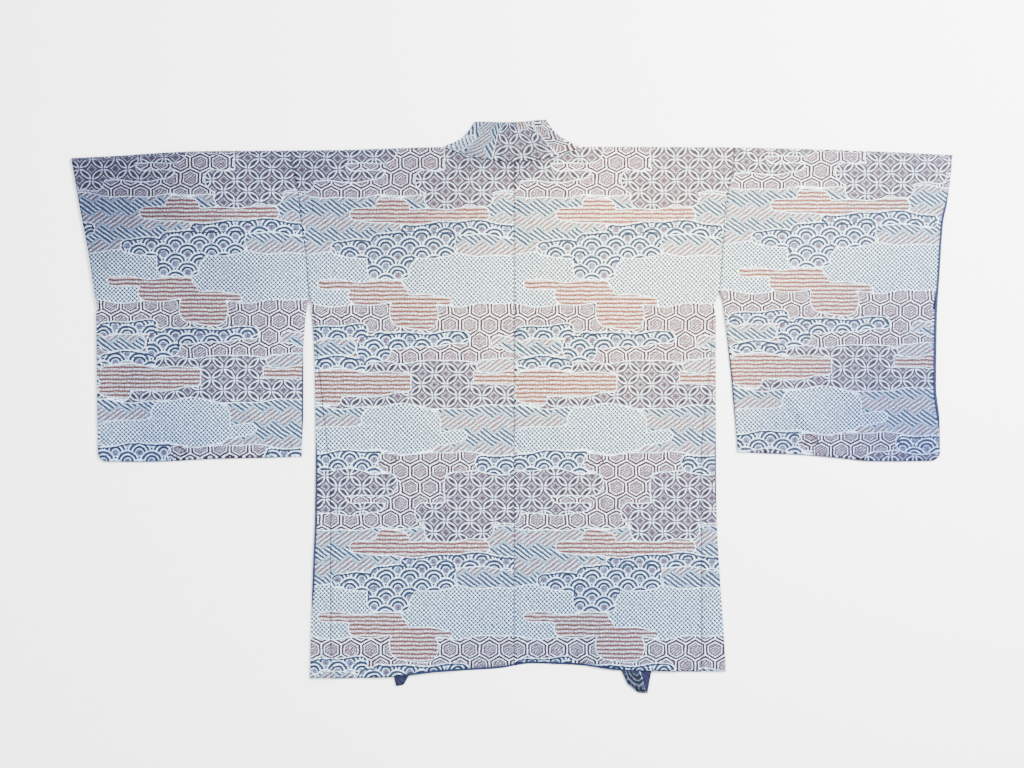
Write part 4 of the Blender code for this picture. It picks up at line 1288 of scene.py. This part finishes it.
COLLAR_LEVEL = 0.0051
BAND = 0.0030
BAND_WALL = 0.0008
TIP_PINCH = 0.4  # thickness of the band at its ends, as a share of the rest
SEAM_PINCH = 0.6  # how much of it is pressed away at the seam
NECK_WAVE = 0.0004  # unevenness behind the neck
NECK_WAVE_SIZE = 0.045
TURN_LENGTH = 0.110  # over this far below the neck the band turns towards its fold
BAND_CELLS = 18  # across one face of the band
EDGE_CELLS = 4  # round its free edge
TIP_CELLS = 9
BAND_ROWS = 150
BAND_CROWDING = 1.3  # rows lie closer towards the neck
DIAGONAL_STEPS = 8
NECK_CELLS = 44
BAND_START = (0.206, 0.368)  # the neck's middle on the flat cloth

FLOORWARD = Vector((0, 0, -1))

Tip = namedtuple("Tip", "across down")
Row = namedtuple("Row", "places height outward swell")
# The slanted ends, read at five places from the seam across: on the end's edge, then above its slant.
TIPS = {
    "left": (
        ((-0.1765, 0.8070), (-0.1812, 0.7900)),
        ((-0.1650, 0.8050), (-0.1680, 0.7850)),
        ((-0.1545, 0.7860), (-0.1535, 0.7750)),
        ((-0.1390, 0.7770), (-0.1380, 0.7640)),
        ((-0.1215, 0.7700), (-0.1205, 0.7550)),
    ),
    "right": (
        ((0.2001, 0.8175), (0.2062, 0.7842)),
        ((0.1857, 0.8170), (0.1915, 0.7820)),
        ((0.1690, 0.8030), (0.1760, 0.7740)),
        ((0.1600, 0.7830), (0.1610, 0.7640)),
        ((0.1470, 0.7720), (0.1460, 0.7540)),
    ),
}
FOLD_TOP = {"left": Tip(-0.0546, -0.0386), "right": Tip(0.0438, -0.0414)}
FOLD_BOW = {"left": 0.0070, "right": 0.0075}
BOW_FADE = 0.3  # share of the neck over which the bow fades out
COLLAR_TOP = (Level(-0.0550, -0.0388), Level(-0.0060, -0.0378), Level(0.0441, -0.0418))
# The right end's turned-in corner shows its navy facing beyond this crease; the left end shows only that.
FACING_TOP = 0.775
FACING_CREASE = (Tip(0.1883, 0.7842), Tip(0.1976, 0.8170))


def band_row(seam, free, height, outward=FLOORWARD, bow=Vector((0, 0)), swell=1.0):
    """Places across the band from its seam to its free edge, bowed where the row is a fold."""
    places = []
    for cell in range(BAND_CELLS + 1):
        share = cell / BAND_CELLS
        places.append(seam.lerp(free, share) + bow * 4 * share * (1 - share))
    return Row(places, height, outward, swell)


def fold_way(side):
    """Along the diagonal fold from the seam up to the free edge, and outwards square to it."""
    run = (Vector(FOLD_TOP[side.name]) - Vector((side.neck_end, 0))).normalized()
    return run, Vector((side.sign * abs(run.y), -abs(run.x)))


def fold_bow(side, away):
    """How the band is drawn in beside the diagonal fold: fully at the fold, not at all from 1 on."""
    return fold_way(side)[1] * -FOLD_BOW[side.name] * (1 - ease(away))


def band_section(side, down):
    """Seam and free edge at one place down a front: the band turns inward towards its fold at the neck."""
    seam = Vector((collar_seam(side, down), down))
    to_free = Vector(FOLD_TOP[side.name]) - Vector((side.neck_end, 0))
    fold_angle = math.atan2(-to_free.y, -to_free.x * side.sign)
    angle = fold_angle * (1 - ease(down / TURN_LENGTH))
    reach = Vector((-side.sign * math.cos(angle), -math.sin(angle)))
    return seam, seam + reach * BAND_WIDTH


def tip_places(side, end):
    """Places along a slanted end, read off its five points."""
    columns = TIPS[side.name]
    places = []
    for cell in range(BAND_CELLS + 1):
        along = cell / BAND_CELLS * (len(columns) - 1)
        column = min(int(along), len(columns) - 2)
        first, second = Vector(columns[column][end]), Vector(columns[column + 1][end])
        places.append(first.lerp(second, along - column))
    return places


def front_rows(side):
    """The band's rows down one front, from its end up to just under the fold."""
    lowest = Tip(*TIPS[side.name][-1][1]).down - BAND_WIDTH / 2
    marks = [tip_places(side, 0), tip_places(side, 1), band_row(*band_section(side, lowest), 0).places]
    rows = []
    for first, second in zip(marks, marks[1:]):
        for step in range(TIP_CELLS):
            places = [a.lerp(b, step / TIP_CELLS) for a, b in zip(first, second)]
            rows.append(Row(places, BAND / 2, FLOORWARD, 1.0 if rows else TIP_PINCH))
    for step in range(BAND_ROWS):
        place = lowest * (1 - step / BAND_ROWS) ** BAND_CROWDING
        rows.append(band_row(*band_section(side, place), BAND / 2, bow=fold_bow(side, place / TURN_LENGTH)))
    return rows


def diagonal_rows(side):
    """Round the diagonal fold beside the neck, from the lower layer to the upper one."""
    seam = Vector((side.neck_end, 0))
    free = Vector(FOLD_TOP[side.name])
    run, out = fold_way(side)
    rise = (COLLAR_LEVEL - BAND / 2) / 2
    rows = []
    for step in range(DIAGONAL_STEPS + 1):
        angle = math.pi * (step / DIAGONAL_STEPS - 0.5)
        past = rise * math.cos(angle)
        outward = Vector((out.x * math.cos(angle), -out.y * math.cos(angle), math.sin(angle)))
        height = BAND / 2 + rise + rise * math.sin(angle)
        seam_end = seam + (out + run) * past
        rows.append(band_row(seam_end, free + (out - run) * past, height, outward, fold_bow(side, 0)))
    return rows


def neck_rows():
    """The band behind the neck, between the two diagonal folds."""
    rows = []
    for step in range(1, NECK_CELLS):
        share = step / NECK_CELLS
        across = mix(LEFT.neck_end, RIGHT.neck_end, share)
        free_across = mix(FOLD_TOP["left"].across, FOLD_TOP["right"].across, share)
        seam = Vector((across, neck_line(across)))
        free = Vector((free_across, follow(COLLAR_TOP, free_across)))
        dip = NECK_WAVE * noise.noise(Vector((across / NECK_WAVE_SIZE, 3, 0)))
        bow = fold_bow(LEFT, share / BOW_FADE) + fold_bow(RIGHT, (1 - share) / BOW_FADE)
        rows.append(band_row(seam, free, COLLAR_LEVEL + dip, Vector((0, 0, 1)), bow))
    return rows


def facing_depth(across, down):
    """How far inside a turned-in end's navy facing a place lies; below zero on the silk beside it, which
    gets painted shade.
    """
    if down < FACING_TOP:
        return 0.0
    if across < 0:
        return BAND
    run = (Vector(FACING_CREASE[1]) - Vector(FACING_CREASE[0])).normalized()
    out = Vector((across, down)) - Vector(FACING_CREASE[0])
    return out.x * run.y - out.y * run.x


def collar():
    """The silk round the core: out along its outer face, round the free edge and back."""
    rows = front_rows(LEFT) + diagonal_rows(LEFT) + neck_rows()
    rows += diagonal_rows(RIGHT)[::-1] + front_rows(RIGHT)[::-1]
    middles = [spot(*row.places[BAND_CELLS // 2], row.height) for row in rows]
    lengths = [0.0]
    for before, here in zip(middles, middles[1:]):
        lengths.append(lengths[-1] + (here - before).length)
    neck = lengths[len(lengths) // 2]
    half = (BAND - BAND_WALL) / 2

    def corner(column, index):
        row = rows[index]
        edge = (row.places[-1] - row.places[-2]).normalized()
        inset = BAND / 2
        shrink = 1 - inset / (row.places[-1] - row.places[0]).length
        past = column - BAND_CELLS
        if 0 < past < EDGE_CELLS:
            angle = math.pi * past / EDGE_CELLS
            flat = row.places[-1] - edge * inset * (1 - math.sin(angle))
            lift = half * math.cos(angle)
            across = BAND_WIDTH + half * angle
        else:
            cell = column if past <= 0 else BAND_CELLS - (past - EDGE_CELLS)
            flat = row.places[0] + (row.places[cell] - row.places[0]) * shrink
            lift = half * (1 if past <= 0 else -1)
            lift *= 1 - SEAM_PINCH * math.exp(-cell * BAND_WIDTH / BAND_CELLS / SEAM_SOFT)
            across = cell / BAND_CELLS * BAND_WIDTH
            across = across if past <= 0 else 2 * BAND_WIDTH - across
        point = spot(flat.x, flat.y, row.height) + row.outward * lift * row.swell
        return point, Vector((BAND_START[0] + across, BAND_START[1] - lengths[index] + neck, 0))

    mesh = bmesh.new()
    lay_cloth(mesh, 2 * BAND_CELLS + EDGE_CELLS, len(rows) - 1, corner)
    piece = finish_cloth(mesh, "collar_band", BAND_WALL, silk, "collar")
    depths = [facing_depth(*garment_place(point)) for point in piece.data.vertices]
    piece.data.attributes.new("facing", "FLOAT", "POINT").data.foreach_set("value", depths)


collar()
